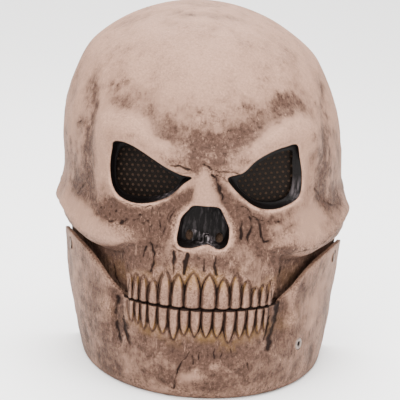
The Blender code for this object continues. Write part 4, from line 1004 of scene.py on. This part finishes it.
class Paint:
    """A material built from nodes."""

    def __init__(self, name):
        self.material = bpy.data.materials.new(name)
        self.material.use_nodes = True
        self.tree = self.material.node_tree
        self.shader = self.tree.nodes["Principled BSDF"]
        self.place = self.node("ShaderNodeTexCoord", output=3)

    def node(self, kind, settings=None, sockets=None, output=0):
        node = self.tree.nodes.new(kind)
        for name, value in (settings or {}).items():
            setattr(node, name, value)
        for name, value in (sockets or {}).items():
            self.put(node.inputs[name], value)
        return Value(self, node.outputs[output])

    def put(self, socket, value):
        if isinstance(value, Value):
            self.tree.links.new(value.socket, socket)
        else:
            socket.default_value = value

    def math(self, operation, *values):
        return self.node("ShaderNodeMath", {"operation": operation}, dict(enumerate(values)))

    def field(self, name):
        """A number kept at each vertex."""
        return self.node("ShaderNodeAttribute", {"attribute_name": name}, output=2)

    def height(self):
        """How high a place is over the floor."""
        return self.node("ShaderNodeSeparateXYZ", sockets={0: self.place}, output=2)

    def noise(self, size, detail=3.0, roughness=0.5, stretch=(1, 1, 1), shift=0.0):
        """Noise with features of a size in metres, drawn out by a stretch."""
        scale = tuple(1 / share for share in stretch)
        place = self.node("ShaderNodeMapping", sockets={0: self.place, 1: (shift,) * 3, 3: scale})
        return self.node("ShaderNodeTexNoise", sockets={0: place, 2: 1 / size, 3: detail, 4: roughness})

    def cells(self, size):
        """Distance from the nearest of scattered points, in cells of a size."""
        return self.node("ShaderNodeTexVoronoi", sockets={0: self.place, 2: 1 / size})

    def mix(self, part, first, second):
        """A colour between two colours."""
        colours = [c if isinstance(c, Value) else (*c, 1.0) for c in (first, second)]
        sockets = {0: part, 6: colours[0], 7: colours[1]}
        return self.node("ShaderNodeMix", {"data_type": "RGBA"}, sockets, output=2)

    def finish(self, colour, roughness, height=None, depth=0.0, gloss=None):
        """The material, with a colour, a roughness, bumps up to a depth, and its own gloss if it has one."""
        self.put(self.shader.inputs["Base Color"], colour)
        self.put(self.shader.inputs["Roughness"], roughness)
        if height is not None:
            bump = self.node("ShaderNodeBump", sockets={"Strength": 1.0, "Distance": depth, "Height": height})
            self.put(self.shader.inputs["Normal"], bump)
        if gloss is not None:
            self.shader.inputs["Specular IOR Level"].default_value = gloss
        return self.material


def shaded(share, colour):
    """A colour made darker or lighter by a share."""
    return tuple(share * part for part in colour)


def bone_paint(name, colours):
    """Cast, washed and dry-brushed bone: a wash that stays in hollows, ochre gums and dark grooves; painted
    shade below the cheekbones, in the temples, along the jaw's foot and along the mouth; painted highlights
    on raised places and the lower socket rims.
    """
    paint = Paint(name)
    bone, stain_and_shade, groove_and_shadow, gum = colours.bone, colours.stain_and_shade, colours.groove_and_shadow, colours.gum

    # Noises from large to fine, and the fields kept at the vertices
    cloud = paint.noise(0.042, 4.0, 0.60)
    patch = paint.noise(0.018, 4.0, 0.62, shift=17.0)
    mottle = paint.noise(0.0085, 5.0, 0.62, shift=3.0)
    grain = paint.noise(0.0014, 4.0, 0.65, shift=7.0)
    fine = paint.noise(0.0024, 5.0, 0.68, shift=13.0)
    strokes = paint.noise(0.0026, 5.0, 0.60, stretch=(0.8, 0.8, 3.0), shift=5.0)
    deep, stain_shade_field, crease = paint.field("sunken"), paint.field("stain_and_shade"), paint.field("crease")
    tooth, mouth, arch = paint.field("tooth"), paint.field("mouth"), paint.field("arch")
    crown = tooth.eased(-0.2, -0.9)
    low = paint.height().eased(0.185, 0.110)

    # How thick the brown wash lies: uneven all over, round the mouth and in stains, and darker low down; the
    # stains bring in painted shade below the cheekbones, in the temples and along the jaw's foot, and painted
    # highlights where their strength is below 0
    wash_and_shade = cloud.eased(0.40, 0.60) * 0.34 + (patch - 0.5) * 1.0 + (mottle - 0.5) * 1.15
    wash_and_shade = wash_and_shade + (grain - 0.5) * (0.75 - crown * 0.62) + 0.10
    wash_and_shade = wash_and_shade + (strokes - 0.5) * (mouth * 1.6 + crown * 0.8 + 0.70) + mouth * 0.50 + low * 0.40
    wash_and_shade = wash_and_shade + crown * (mottle.eased(0.40, 0.64) * 0.34 + arch * 0.14)
    wash_and_shade = wash_and_shade + stain_shade_field * (mottle.eased(0.32, 0.64) * 1.15 + (grain - 0.5) * 0.8 + 0.46)
    wash_and_shade = wash_and_shade + deep.eased(-0.05, 0.50) * 0.65 + tooth.eased(-1.9, -0.2) * tooth.eased(0.6, 0.2) * 0.30
    wash_and_shade = wash_and_shade + paint.field("halo") * (mottle * 0.9 + 0.1)
    colour = paint.mix(wash_and_shade.eased(-0.10, 1.26) * 0.95, bone, stain_and_shade)

    # Where it lies thick it breaks up into darker and paler flecks and strokes
    thick = wash_and_shade.eased(0.45, 1.05)
    colour = paint.mix(fine.eased(0.48, 0.68) * thick * (0.75 - crown * 0.60), colour, shaded(0.34, stain_and_shade))
    colour = paint.mix(fine.eased(0.46, 0.32) * thick * 0.34, colour, bone)
    streaks = strokes.eased(0.46, 0.70) * wash_and_shade.eased(0.25, 0.95) * 0.55
    colour = paint.mix(streaks, colour, shaded(0.45, stain_and_shade))

    # Ochre along the gums and at the roots of the teeth
    ochre = paint.field("gum") * mottle.eased(0.34, 0.58) * cloud.eased(0.36, 0.56)
    colour = paint.mix(ochre, colour, gum)
    colour = paint.mix(arch * crown * mottle.eased(0.36, 0.60) * 0.80, colour, shaded(1.5, gum))

    # The pale dry brush on ridges and crowns, and pale socket rims, most on the lower ones: worn paint and a
    # painted highlight
    catch = paint.math("MAXIMUM", grain.eased(0.35, 0.65), crown * strokes.eased(0.34, 0.66) * 0.80)
    pale = (0.0 - deep).eased(0.03, 0.35) * catch * stain_shade_field.eased(0.8, 0.3) * 0.5
    pale = pale + paint.field("rim_wear_and_highlight") * mottle.eased(0.36, 0.58)
    pale = pale + strokes.eased(0.55, 0.74) * mottle.eased(0.60, 0.42) * 0.50
    colour = paint.mix(pale, colour, shaded(1.55, bone))

    # Dark paint in the gaps between the teeth, in creases and hollows, and painted shadow along the mouth
    rough = (mottle - 0.5) * 0.7 + (grain - 0.5) * 0.6
    line = (tooth + rough).eased(-0.38, 0.05) * (tooth + rough).eased(0.85, 0.2)
    cracks = (crease * (mottle * 1.5 + 0.25) + rough * (0.9 - crown * 0.6)).eased(0.20, 0.95)
    dark = line * (0.86 - arch * 0.64) + cracks * 0.92
    dark = dark + deep.eased(0.50, 1.3) * 0.7 + (paint.field("mouth_shadow") + rough * 0.5).eased(0.25, 0.75)
    colour = paint.mix(paint.math("MINIMUM", dark, 0.96), colour, groove_and_shadow)

    # Scattered specks, and the black of sockets and nose up to a ragged line
    speck = paint.cells(0.0042).eased(0.16, 0.08) * mottle.eased(0.55, 0.70) * (0.5 - crown * 0.5)
    colour = paint.mix(speck, colour, stain_and_shade)
    black = (paint.field("socket") + rough * 0.6).eased(0.35, -0.25)
    colour = paint.mix(black, colour, colours.socket)
    roughness = 0.52 + grain * 0.18 + dark * 0.12
    height = grain * (0.6 - crown * 0.48) + mottle * 1.2 + strokes * 0.8
    height = height + paint.noise(0.0004, 2.0, shift=11.0) * 0.25
    return paint.finish(colour, roughness, height, 0.00075, gloss=0.07)


def inside_shade_paint(name, colours):
    """The inside of the moulding: dull and dark, as painted shade inside the mask, with faint swirls."""
    paint = Paint(name)
    swirl = paint.noise(0.02, 4.0, 0.6)
    colour = paint.mix(swirl.eased(0.3, 0.7), shaded(0.55, colours.stain_and_shade), shaded(0.75, colours.stain_and_shade))
    return paint.finish(colour, 0.75, paint.noise(0.003, 3.0), 0.0002)


def black_paint(name, colours, sheen):
    """Black in the sockets, with a painted lilac-grey sheen in streaks."""
    paint = Paint(name)
    painted_sheen = paint.noise(0.0035, 4.0, 0.6, stretch=(0.55, 0.55, 3.2))
    sheen_amount = painted_sheen.eased(0.46, 0.68) * paint.field("painted_sheen") * sheen
    # Painted sheen: lilac-grey streaks on the black.
    colour = paint.mix(sheen_amount, colours.socket, (0.30, 0.25, 0.26))
    return paint.finish(colour, 0.42 + painted_sheen * 0.2, paint.noise(0.0016, 3.0), 0.0003, gloss=0.10)


def sheet_paint(name):
    """The moulded sheet: near black, with a fine pebbled face."""
    paint = Paint(name)
    fleck = paint.noise(0.0011, 3.0, 0.6)
    colour = paint.mix(fleck.eased(0.35, 0.75), (0.0035, 0.0020, 0.0012), (0.0085, 0.0050, 0.0032))
    return paint.finish(colour, 0.60, fleck, 0.00012, gloss=0.08)


def gauze_paint(name, colours, lighter=1.0):
    """Brown gauze, its threads lighter on top."""
    paint = Paint(name)
    threads = paint.noise(0.0009, 3.0, 0.6)
    thread = shaded(lighter, colours.thread)
    colour = paint.mix(threads.eased(0.30, 0.70), shaded(0.55, thread), thread)
    return paint.finish(colour, 0.90, threads, 0.0002, gloss=0.10)


def rivet_paint(name):
    """Metal rivets sprayed over with the bone paint, worn to grey along their edges, with painted shade, near
    black, down their bores.
    """
    paint = Paint(name)
    fleck = paint.noise(0.0011, 4.0, 0.65)
    worn = paint.field("rim") * fleck.eased(0.38, 0.62)
    colour = paint.mix(fleck.eased(0.30, 0.75), (0.20, 0.135, 0.10), (0.10, 0.062, 0.045))
    colour = paint.mix(worn, colour, (0.13, 0.11, 0.10))
    # Painted shade: near black down the bore.
    colour = paint.mix(paint.field("bore"), colour, (0.012, 0.009, 0.008))
    paint.put(paint.shader.inputs["Metallic"], worn * 0.3)
    return paint.finish(colour, 0.48 - worn * 0.15, fleck, 0.0001)


def painted_cheek_temple_shade(x, z):
    """Painted shadow below the cheekbones, and painted shade in the temple hollows outside the temple lines.
    """
    across = np.abs(x) / FACE_HALF
    below = z - line_height(CHEEK_LINE, across) * MASK_HEIGHT
    shade = 0.55 * bell(below + 0.004, 0.006) * eased(across, 0.34, 0.50) * (1 - eased(across, 0.92, 1.0))
    up = z / MASK_HEIGHT
    return shade + 0.30 * bell(across - 0.80, 0.05) * eased(up, 0.46, 0.53) * eased(up, 0.88, 0.78)


def chin_shade_and_wash(x, z):
    """Painted shade along the jaw's foot, where it turns under, and darker paint below the lower teeth."""
    return 0.35 * bell(z - 0.003, 0.008) + 0.25 * bell(z - 0.040, 0.006) * bell(x, 0.030)


def paint_fields(obj, teeth, edge, shade):
    """Keeps at each vertex what the paints read: millimetres below the surface round it and outside the
    nearest tooth, and the strengths of stains with their painted shade and painted highlights, creases, gum,
    worn rims with a painted highlight, painted shadow along the mouth, painted sheen in the black and socket
    black."""
    mesh = obj.data
    points = read_points(mesh)
    x, z = points[:, 0], points[:, 2]
    front = eased(points[:, 1], -0.030, -0.060)
    outside, _, along = teeth_beside(teeth, x, z, edge)
    store(mesh, "sunken", 1000 * sunken(mesh, SMOOTH_ROUNDS))
    store(mesh, "tooth", np.where(front > 0, 1000 * np.clip(outside, -0.004, 0.006), 6))
    gum = eased(outside, -0.0004, 0.0012) * eased(along, 1.30, 1.02) * eased(along, 0.25, 0.6)
    gum *= bell(np.abs(x) / FACE_HALF, 0.50) * 0.72
    store(mesh, "gum", gum * front)
    store(mesh, "arch", eased(along, 0.40, 0.92))
    # Painted shade from shade() rides in with the stains; stain rows below 0 are pale dry brush and painted
    # highlights.
    stain_and_shade = shade(x, z)
    add_patches(stain_and_shade, STAINS_AND_HIGHLIGHTS, x, z)
    stain_and_shade *= 1 - 0.42 * eased(z, 0.168, 0.190)
    store(mesh, "stain_and_shade", stain_and_shade * front)
    _, dark, halo = marks_at(x, z)
    store(mesh, "crease", dark * front)
    store(mesh, "halo", halo * front)
    mouth = bell(z - UPPER_EDGE - 0.006, 0.026) * bell(np.abs(x) / FACE_HALF, 0.52)
    store(mesh, "mouth", mouth * front)
    between = np.abs(x) < MOUTH_HALF
    # Painted shadow along the mouth, where the two shells meet.
    store(mesh, "mouth_shadow", bell(z - edge, 0.0011) * bell(np.abs(x) / MOUTH_HALF, 1.0) ** 0.3 * front * between)
    socket = np.full(len(points), 9.0)
    for outline in (LEFT_SOCKET, RIGHT_SOCKET, NOSE_OUTLINE):
        socket = np.minimum(socket, 1000 * beside(on_face(outline), x, z)[0])
    store(mesh, "socket", np.where(front > 0, np.clip(socket, -9, 9), 9))
    # Pale along the socket rims, most on the lower ones: worn paint and a painted highlight.
    store(mesh, "rim_wear_and_highlight", bell(socket - 1.1, 0.9) * (0.3 + 0.7 * eased(z, 0.152, 0.142)) * front)
    # Where the painted sheen lies on the black.
    painted_sheen = np.zeros(len(points))
    add_patches(painted_sheen, PAINTED_SHEEN_PLACES, x, z)
    store(mesh, "painted_sheen", painted_sheen)


# Pieces
def build_skull(sizes, colours):
    """The upper shell, its sockets, nose, openings and bores cut as in the frame."""
    socket = black_paint("socket_black", colours, 0.5)
    nose = black_paint("nose_black", colours, 0.75)
    turns = grid_turns(*SKULL_COLUMNS)
    outer, inner = skull_faces(turns, skull_positions(), sizes)
    mesh = shell_mesh("skull", outer, inner, True)
    # The inside is painted dark, as shade inside the mask.
    inside_shade = inside_shade_paint("inside", colours)
    skull = add_object("skull", mesh, bone_paint("bone", colours), inside_shade, socket, nose)
    tree = BVHTree.FromPolygons([v.co for v in mesh.vertices], [p.vertices for p in mesh.polygons])

    def hollow(name, outline, foot, floor, paint):
        """Sinks an outline into the wall as a bowl that narrows to its foot on the floor."""
        ahead = -2 * MASK_DEPTH
        backwards = Vector((0, 1, 0))
        met = [tree.ray_cast(Vector((x, ahead, z)), backwards)[0].y for x, z in outline]
        rim = np.array(met) + 0.0004
        deep = floor(foot)
        rings = [ring_at(outline, ahead), ring_at(outline, rim)]
        for part in (0.25, 0.5, 0.75, 0.92, 1.0):
            bulge = 1 - (1 - part) ** 1.6
            rings.append(ring_at(outline + (foot - outline) * part**1.5, rim + (deep - rim) * bulge))
        carve(skull, add_object(name, loft_mesh(name, rings), paint))

    def through(name, outline, floor, paint):
        """Cuts an outline through the wall behind a floor."""
        depth = floor(outline)
        depths = (depth - THROUGH_MARGIN, depth + WALL + THROUGH_MARGIN)
        rings = [ring_at(outline, depth) for depth in depths]
        carve(skull, add_object(name, loft_mesh(name, rings), paint))

    for side, rim, opening in (("left", LEFT_SOCKET, LEFT_OPENING), ("right", RIGHT_SOCKET, RIGHT_OPENING)):
        outline, hole = on_face(rim), on_face(opening)
        _, near_x, near_z = beside(hole, outline[:, 0], outline[:, 1])
        near = np.stack((near_x, near_z), axis=1)
        hollow("socket_" + side, outline, near + SOCKET_FOOT * (outline - near), socket_floor, socket)
        through("opening_" + side, hole, socket_floor, socket)
    outline = on_face(NOSE_OUTLINE)
    middle = outline.mean(axis=0)
    hollow("nose", outline, middle + NOSE_FOOT * (outline - middle), nose_floor, nose)
    place = np.array(SPINE_PLACE) * (FACE_HALF, MASK_HEIGHT)
    spine = spine_mesh(Vector((place[0], nose_floor(place) - SPINE_LIFT, place[1])))
    carve(skull, add_object("spine", spine, nose), "UNION")
    ring = unit_circle(RIVET_STEPS) * NOSTRIL_RADII
    for number, place in enumerate(NOSTRILS):
        through(f"nostril_{number}", ring + np.array(place) * (FACE_HALF, MASK_HEIGHT), nose_floor, nose)
    for node in PIVOTS + TEMPLE_EYELETS:
        drill(skull, node, node in TEMPLE_EYELETS, inside_shade)
    # Painted shadow below the cheekbones and in the temples goes in with the stains.
    paint_fields(skull, UPPER_TEETH, UPPER_EDGE, painted_cheek_temple_shade)
    settle(skull)
    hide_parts("skull_shell")
    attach(skull, "skull")


def spine_mesh(centre):
    """The end of the nose bone: an ellipsoid, its radius lumpy, as a grid of longitude and latitude."""
    around, up = np.linspace(0, 2 * math.pi, 33)[:-1], np.linspace(-0.46, 0.46, 15) * math.pi
    longitude, latitude = np.meshgrid(around, up)
    level = np.cos(latitude)
    unit = np.stack((level * np.cos(longitude), level * np.sin(longitude), np.sin(latitude)), axis=-1)
    unit *= (1 + 0.10 * unevenness(unit, 0.7, 9))[..., None]
    return loft_mesh("spine", list(unit * SPINE_RADII + np.array(centre)))


def build_jaw(sizes, colours):
    """The jaw, with its teeth, chin and branches, bored for the pivots and its own eyelet."""
    turns = grid_turns(*JAW_COLUMNS)
    level = np.concatenate(([0, 0.002, 0.006], np.linspace(0, 1, JAW_ROWS)[1:-1], [0.9975, 0.9993, 1.0]))
    outer, inner = jaw_faces(turns, level, sizes)
    mesh = shell_mesh("jaw", outer, inner, False)
    # The inside is painted dark, as shade inside the mask.
    inside_shade = inside_shade_paint("inside_jaw_shade", colours)
    jaw = add_object("jaw", mesh, bone_paint("bone_jaw", colours), inside_shade)
    for node in (*PIVOTS, JAW_EYELET):
        drill(jaw, node, True, inside_shade)
    # Painted shade along the jaw's foot goes in with the stains.
    paint_fields(jaw, LOWER_TEETH, LOWER_EDGE, chin_shade_and_wash)
    settle(jaw)
    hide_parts("jaw_shell")
    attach(jaw, "jaw")


def build_sheets(sizes, colours):
    """The perforated sheets behind the eyes: a plate with blind round holes on a lattice of triangles,
    dim gauze at the bottom of each."""
    plate, dim = sheet_paint("eye_sheet"), gauze_paint("eye_gauze", colours)
    circle = unit_circle(HOLE_STEPS) * sizes.hole_width / 2
    rows, columns = np.mgrid[-LATTICE_REACH : LATTICE_REACH + 1, -LATTICE_REACH : LATTICE_REACH + 1]
    lattice = np.stack((columns + 0.5 * (rows % 2), rows * math.sqrt(3) / 2), axis=-1)
    cosine, sine = math.cos(LATTICE_TURN), math.sin(LATTICE_TURN)
    lattice = lattice.reshape(-1, 2) * sizes.hole_pitch @ np.array(((cosine, sine), (-sine, cosine)))
    for side, opening in (("left", LEFT_OPENING), ("right", RIGHT_OPENING)):
        hole = on_face(opening, SHEET_STEPS)
        sheet = grown(hole, PLATE_MARGIN)
        front = socket_floor(sheet) + WALL + PLATE_GAP
        mesh = loft_mesh("eye_sheet_" + side, (ring_at(sheet, front), ring_at(sheet, front + PLATE)))
        obj = add_object("eye_sheet_" + side, mesh, plate, dim)
        places = lattice + hole.mean(axis=0)
        outside, _, _ = beside(sheet, places[:, 0], places[:, 1])
        places = places[outside < -HOLE_MARGIN]
        ring = places[:, None] + circle
        y = (socket_floor(places) + WALL + PLATE_GAP)[:, None]
        ahead, bottom = (
            np.stack((ring[..., 0], np.broadcast_to(y + shift, ring.shape[:2]), ring[..., 1]), axis=-1)
            for shift in (-0.002, HOLE_DEPTH)
        )
        carve(obj, add_object("holes", many_rods("holes", ahead, bottom), plate, dim))
        settle(obj)
        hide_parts("eye_mesh_" + side)
        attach(obj, "skull")


def many_rods(name, front, back):
    """Many short rods as one cutter, from rings in front to rings behind, the bottoms in the second paint."""
    count, steps = front.shape[:2]
    start = 2 * steps * np.arange(count)[:, None]
    around = np.arange(steps)
    following = np.roll(around, -1)
    points = np.concatenate((front, back), axis=1).reshape(-1, 3)
    corners = (around, following, steps + following, steps + around)
    sides = np.stack([start + corner for corner in corners], axis=-1)
    faces = sides.reshape(-1, 4).tolist() + (start + around).tolist() + (start + steps + around).tolist()
    mesh = new_mesh(name, points, faces)
    paint_faces(mesh, -count)
    return tidied(mesh)


def grown(outline, margin):
    """A closed outline moved outwards by a margin."""
    tangent = np.roll(outline, -1, axis=0) - np.roll(outline, 1, axis=0)
    normal = np.stack((tangent[:, 1], -tangent[:, 0]), axis=1)
    normal /= np.linalg.norm(normal, axis=1, keepdims=True)
    following = np.roll(outline, -1, axis=0)
    area = np.sum(outline[:, 0] * following[:, 1] - following[:, 0] * outline[:, 1])
    return outline + normal * margin * np.sign(area)


def build_gauze(colours):
    """The gauze behind the nostrils: a plate whose faces fall in by THREAD_RELIEF times
    1 - |sin(pi x / THREAD_PITCH)| |sin(pi z / THREAD_PITCH)|, thread by thread."""
    left, right, low, high = np.array(NOSE_SHEET) * (FACE_HALF, FACE_HALF, MASK_HEIGHT, MASK_HEIGHT)
    x, z = np.meshgrid(np.linspace(left, right, 150), np.linspace(low, high, 46))
    thread = np.abs(np.sin(math.pi * x / THREAD_PITCH)) * np.abs(np.sin(math.pi * z / THREAD_PITCH))
    floor = nose_floor(np.stack((x, z), axis=-1)) + WALL + PLATE_GAP
    front = np.stack((x, floor + THREAD_RELIEF * (1 - thread), z), axis=-1)
    back = np.stack((x, floor + PLATE - THREAD_RELIEF * (1 - thread), z), axis=-1)
    index = np.arange(x.size).reshape(x.shape)
    rim = np.concatenate((index[0], index[1:, -1], index[-1, -2::-1], index[-2:0:-1, 0]))
    around = np.roll(rim, -1)
    edge = np.stack((rim, rim + x.size, around + x.size, around), axis=-1)
    points = np.concatenate((front.reshape(-1, 3), back.reshape(-1, 3)))
    quads = quads_of(index)
    faces = np.concatenate((quads, quads[:, ::-1] + x.size, edge))
    mesh = new_mesh("nose_gauze", points, faces.tolist())
    obj = add_object("nose_gauze", tidied(mesh), gauze_paint("nose_gauze", colours, 1.6))
    settle(obj)
    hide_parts("nose_mesh")
    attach(obj, "skull")


def rivet_profile(half):
    """Half section of a hollow rivet: a straight barrel whose ends roll over into domed flanges."""
    roll = np.linspace(0, math.pi, 15)
    width = (FLANGE - BORE) / 2
    middle = BORE + width
    foot = half - FLANGE_THICKNESS
    dome = np.column_stack((middle - width * np.cos(roll), foot + FLANGE_THICKNESS * np.sin(roll) ** 0.75))
    under = np.array(((FLANGE - 0.0001, foot), (BARREL, foot)))
    upper = np.concatenate((dome, under))
    lower = upper[::-1] * (1, -1)
    return np.concatenate((upper, lower))


def build_rivets():
    """Hollow rivets turned round their own axes, each in the place of its CAD node."""
    paint = rivet_paint("rivet")
    bodies = frame["record"]["behaviour"]["bodies"]
    circle = unit_circle(RIVET_STEPS)
    for node in (*PIVOTS, *TEMPLE_EYELETS, JAW_EYELET):
        middle, axis, half = rivet_frame(node)
        radius, height = rivet_profile(half).T
        around = circle[:, None] * radius[:, None]
        points = np.dstack((around, np.broadcast_to(height, around.shape[:2])))
        index = np.arange(points.shape[0] * points.shape[1]).reshape(points.shape[:2])
        closed = np.vstack((np.column_stack((index, index[:, :1])), np.append(index[0], index[0, 0])))
        mesh = new_mesh(node + "_rolled", points.reshape(-1, 3), quads_of(closed).tolist())
        mesh.transform(frame_at(middle, axis))
        obj = add_object(node + "_rolled", tidied(mesh), paint)
        points = read_points(mesh) - middle
        local = points @ axis
        away = np.linalg.norm(points - local[:, None] * axis, axis=1)
        store(mesh, "rim", bell(away - 0.0028, 0.0008) * (np.abs(local) > half - 0.0010))
        # How far into the bore a point lies, for the painted shade there.
        store(mesh, "bore", eased(away, BORE + 0.0003, BORE))
        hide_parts(node)
        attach(obj, next(body for body, nodes in bodies.items() if node in nodes))


def build_stage(look):
    """The pale floor, the soft lights, the even air and the camera."""
    corners = FLOOR_HALF * np.array(((-1, -1, 0), (1, -1, 0), (1, 1, 0), (-1, 1, 0)))
    mesh = new_mesh("floor", corners, [(0, 1, 2, 3)])
    paint = Paint("floor")
    material = paint.finish(paint.mix(paint.noise(0.6, 3.0), look.floor, shaded(0.985, look.floor)), 0.75)
    add_object("floor", mesh, material)
    world = bpy.data.worlds.new("air")
    bpy.context.scene.world = world
    world.use_nodes = True
    air = world.node_tree.nodes["Background"]
    air.inputs[0].default_value = (1.0, 0.99, 0.98, 1)
    air.inputs[1].default_value = look.air
    mask = Vector((0.0, 0.0, 0.13))
    lights = (
        # name, place, aim, width, power
        ("key", (-0.35, -1.10, 1.15), mask, 0.9, look.key),
        ("fill", (0.95, -0.95, 0.55), mask, 1.0, look.fill),
        ("top", (0.0, 0.0, 1.75), mask, 1.6, look.top),
        ("back", (0.0, 3.0, 2.2), Vector((0.0, 3.0, 0.0)), 3.0, look.back),
    )
    for name, place, aim, width, power in lights:
        light = bpy.data.lights.new(name, "AREA")
        light.size = width
        light.energy = power
        obj = bpy.data.objects.new(name, light)
        bpy.context.scene.collection.objects.link(obj)
        obj.matrix_world = frame_at(place, Vector(place) - aim)
    camera = bpy.data.cameras.new("camera")
    camera.sensor_width = 36
    camera.lens = look.distance / look.scale * camera.sensor_width / PICTURE_WIDTH
    camera.shift_x = (PICTURE_WIDTH / 2 - PICTURE_MIDDLE[0]) / PICTURE_WIDTH
    camera.shift_y = -(PICTURE_WIDTH / 2 - PICTURE_MIDDLE[1]) / PICTURE_WIDTH
    camera.clip_end = 50
    obj = bpy.data.objects.new("camera", camera)
    bpy.context.scene.collection.objects.link(obj)
    back = Vector((0, -math.cos(look.elevation), math.sin(look.elevation)))
    place = Vector(LOOKED_AT) + back * look.distance
    obj.matrix_world = frame_at(place, back) @ Matrix.Rotation(look.roll, 4, "Z")
    bpy.context.scene.camera = obj


# Operators and the panel
class MASK_OT_skull(bpy.types.Operator):
    """Builds the painted upper shell"""

    bl_idname = "mask.skull"
    bl_label = "Upper shell"

    def execute(self, context):
        build_skull(context.scene.mask_sizes, context.scene.mask_colours)
        return {"FINISHED"}


class MASK_OT_jaw(bpy.types.Operator):
    """Builds the painted jaw"""

    bl_idname = "mask.jaw"
    bl_label = "Jaw"

    def execute(self, context):
        build_jaw(context.scene.mask_sizes, context.scene.mask_colours)
        return {"FINISHED"}


class MASK_OT_sheets(bpy.types.Operator):
    """Builds the perforated sheets behind the eyes and the gauze behind the nostrils"""

    bl_idname = "mask.sheets"
    bl_label = "Sheets and gauze"

    def execute(self, context):
        build_sheets(context.scene.mask_sizes, context.scene.mask_colours)
        build_gauze(context.scene.mask_colours)
        return {"FINISHED"}


class MASK_OT_rivets(bpy.types.Operator):
    """Builds the five hollow rivets"""

    bl_idname = "mask.rivets"
    bl_label = "Hollow rivets"

    def execute(self, context):
        build_rivets()
        return {"FINISHED"}


class MASK_OT_stage(bpy.types.Operator):
    """Builds the floor, the lights and the camera"""

    bl_idname = "mask.stage"
    bl_label = "Stage"

    def execute(self, context):
        build_stage(context.scene.mask_stage)
        return {"FINISHED"}


class MASK_PT_panel(bpy.types.Panel):
    """Lists the mask's sizes, paints and pieces"""

    bl_label = "Skull mask"
    bl_space_type = "VIEW_3D"
    bl_region_type = "UI"
    bl_category = "Mask"

    def draw(self, context):
        for group in (context.scene.mask_sizes, context.scene.mask_colours, context.scene.mask_stage):
            for name in group.__annotations__:
                self.layout.prop(group, name)
        for operator in OPERATORS:
            self.layout.operator(operator.bl_idname)


GROUPS = (("mask_sizes", MaskSizes), ("mask_colours", MaskColours), ("mask_stage", StageLook))
OPERATORS = (MASK_OT_stage, MASK_OT_skull, MASK_OT_jaw, MASK_OT_sheets, MASK_OT_rivets)


def register():
    for name, group in GROUPS:
        bpy.utils.register_class(group)
        setattr(bpy.types.Scene, name, PointerProperty(type=group))
    for operator in OPERATORS:
        bpy.utils.register_class(operator)
    bpy.utils.register_class(MASK_PT_panel)


def unregister():
    bpy.utils.unregister_class(MASK_PT_panel)
    for operator in reversed(OPERATORS):
        bpy.utils.unregister_class(operator)
    for name, group in reversed(GROUPS):
        delattr(bpy.types.Scene, name)
        bpy.utils.unregister_class(group)


def main():
    register()
    for operator in OPERATORS:
        group, call = operator.bl_idname.split(".")
        getattr(getattr(bpy.ops, group), call)()


if __name__ == "__main__":
    main()
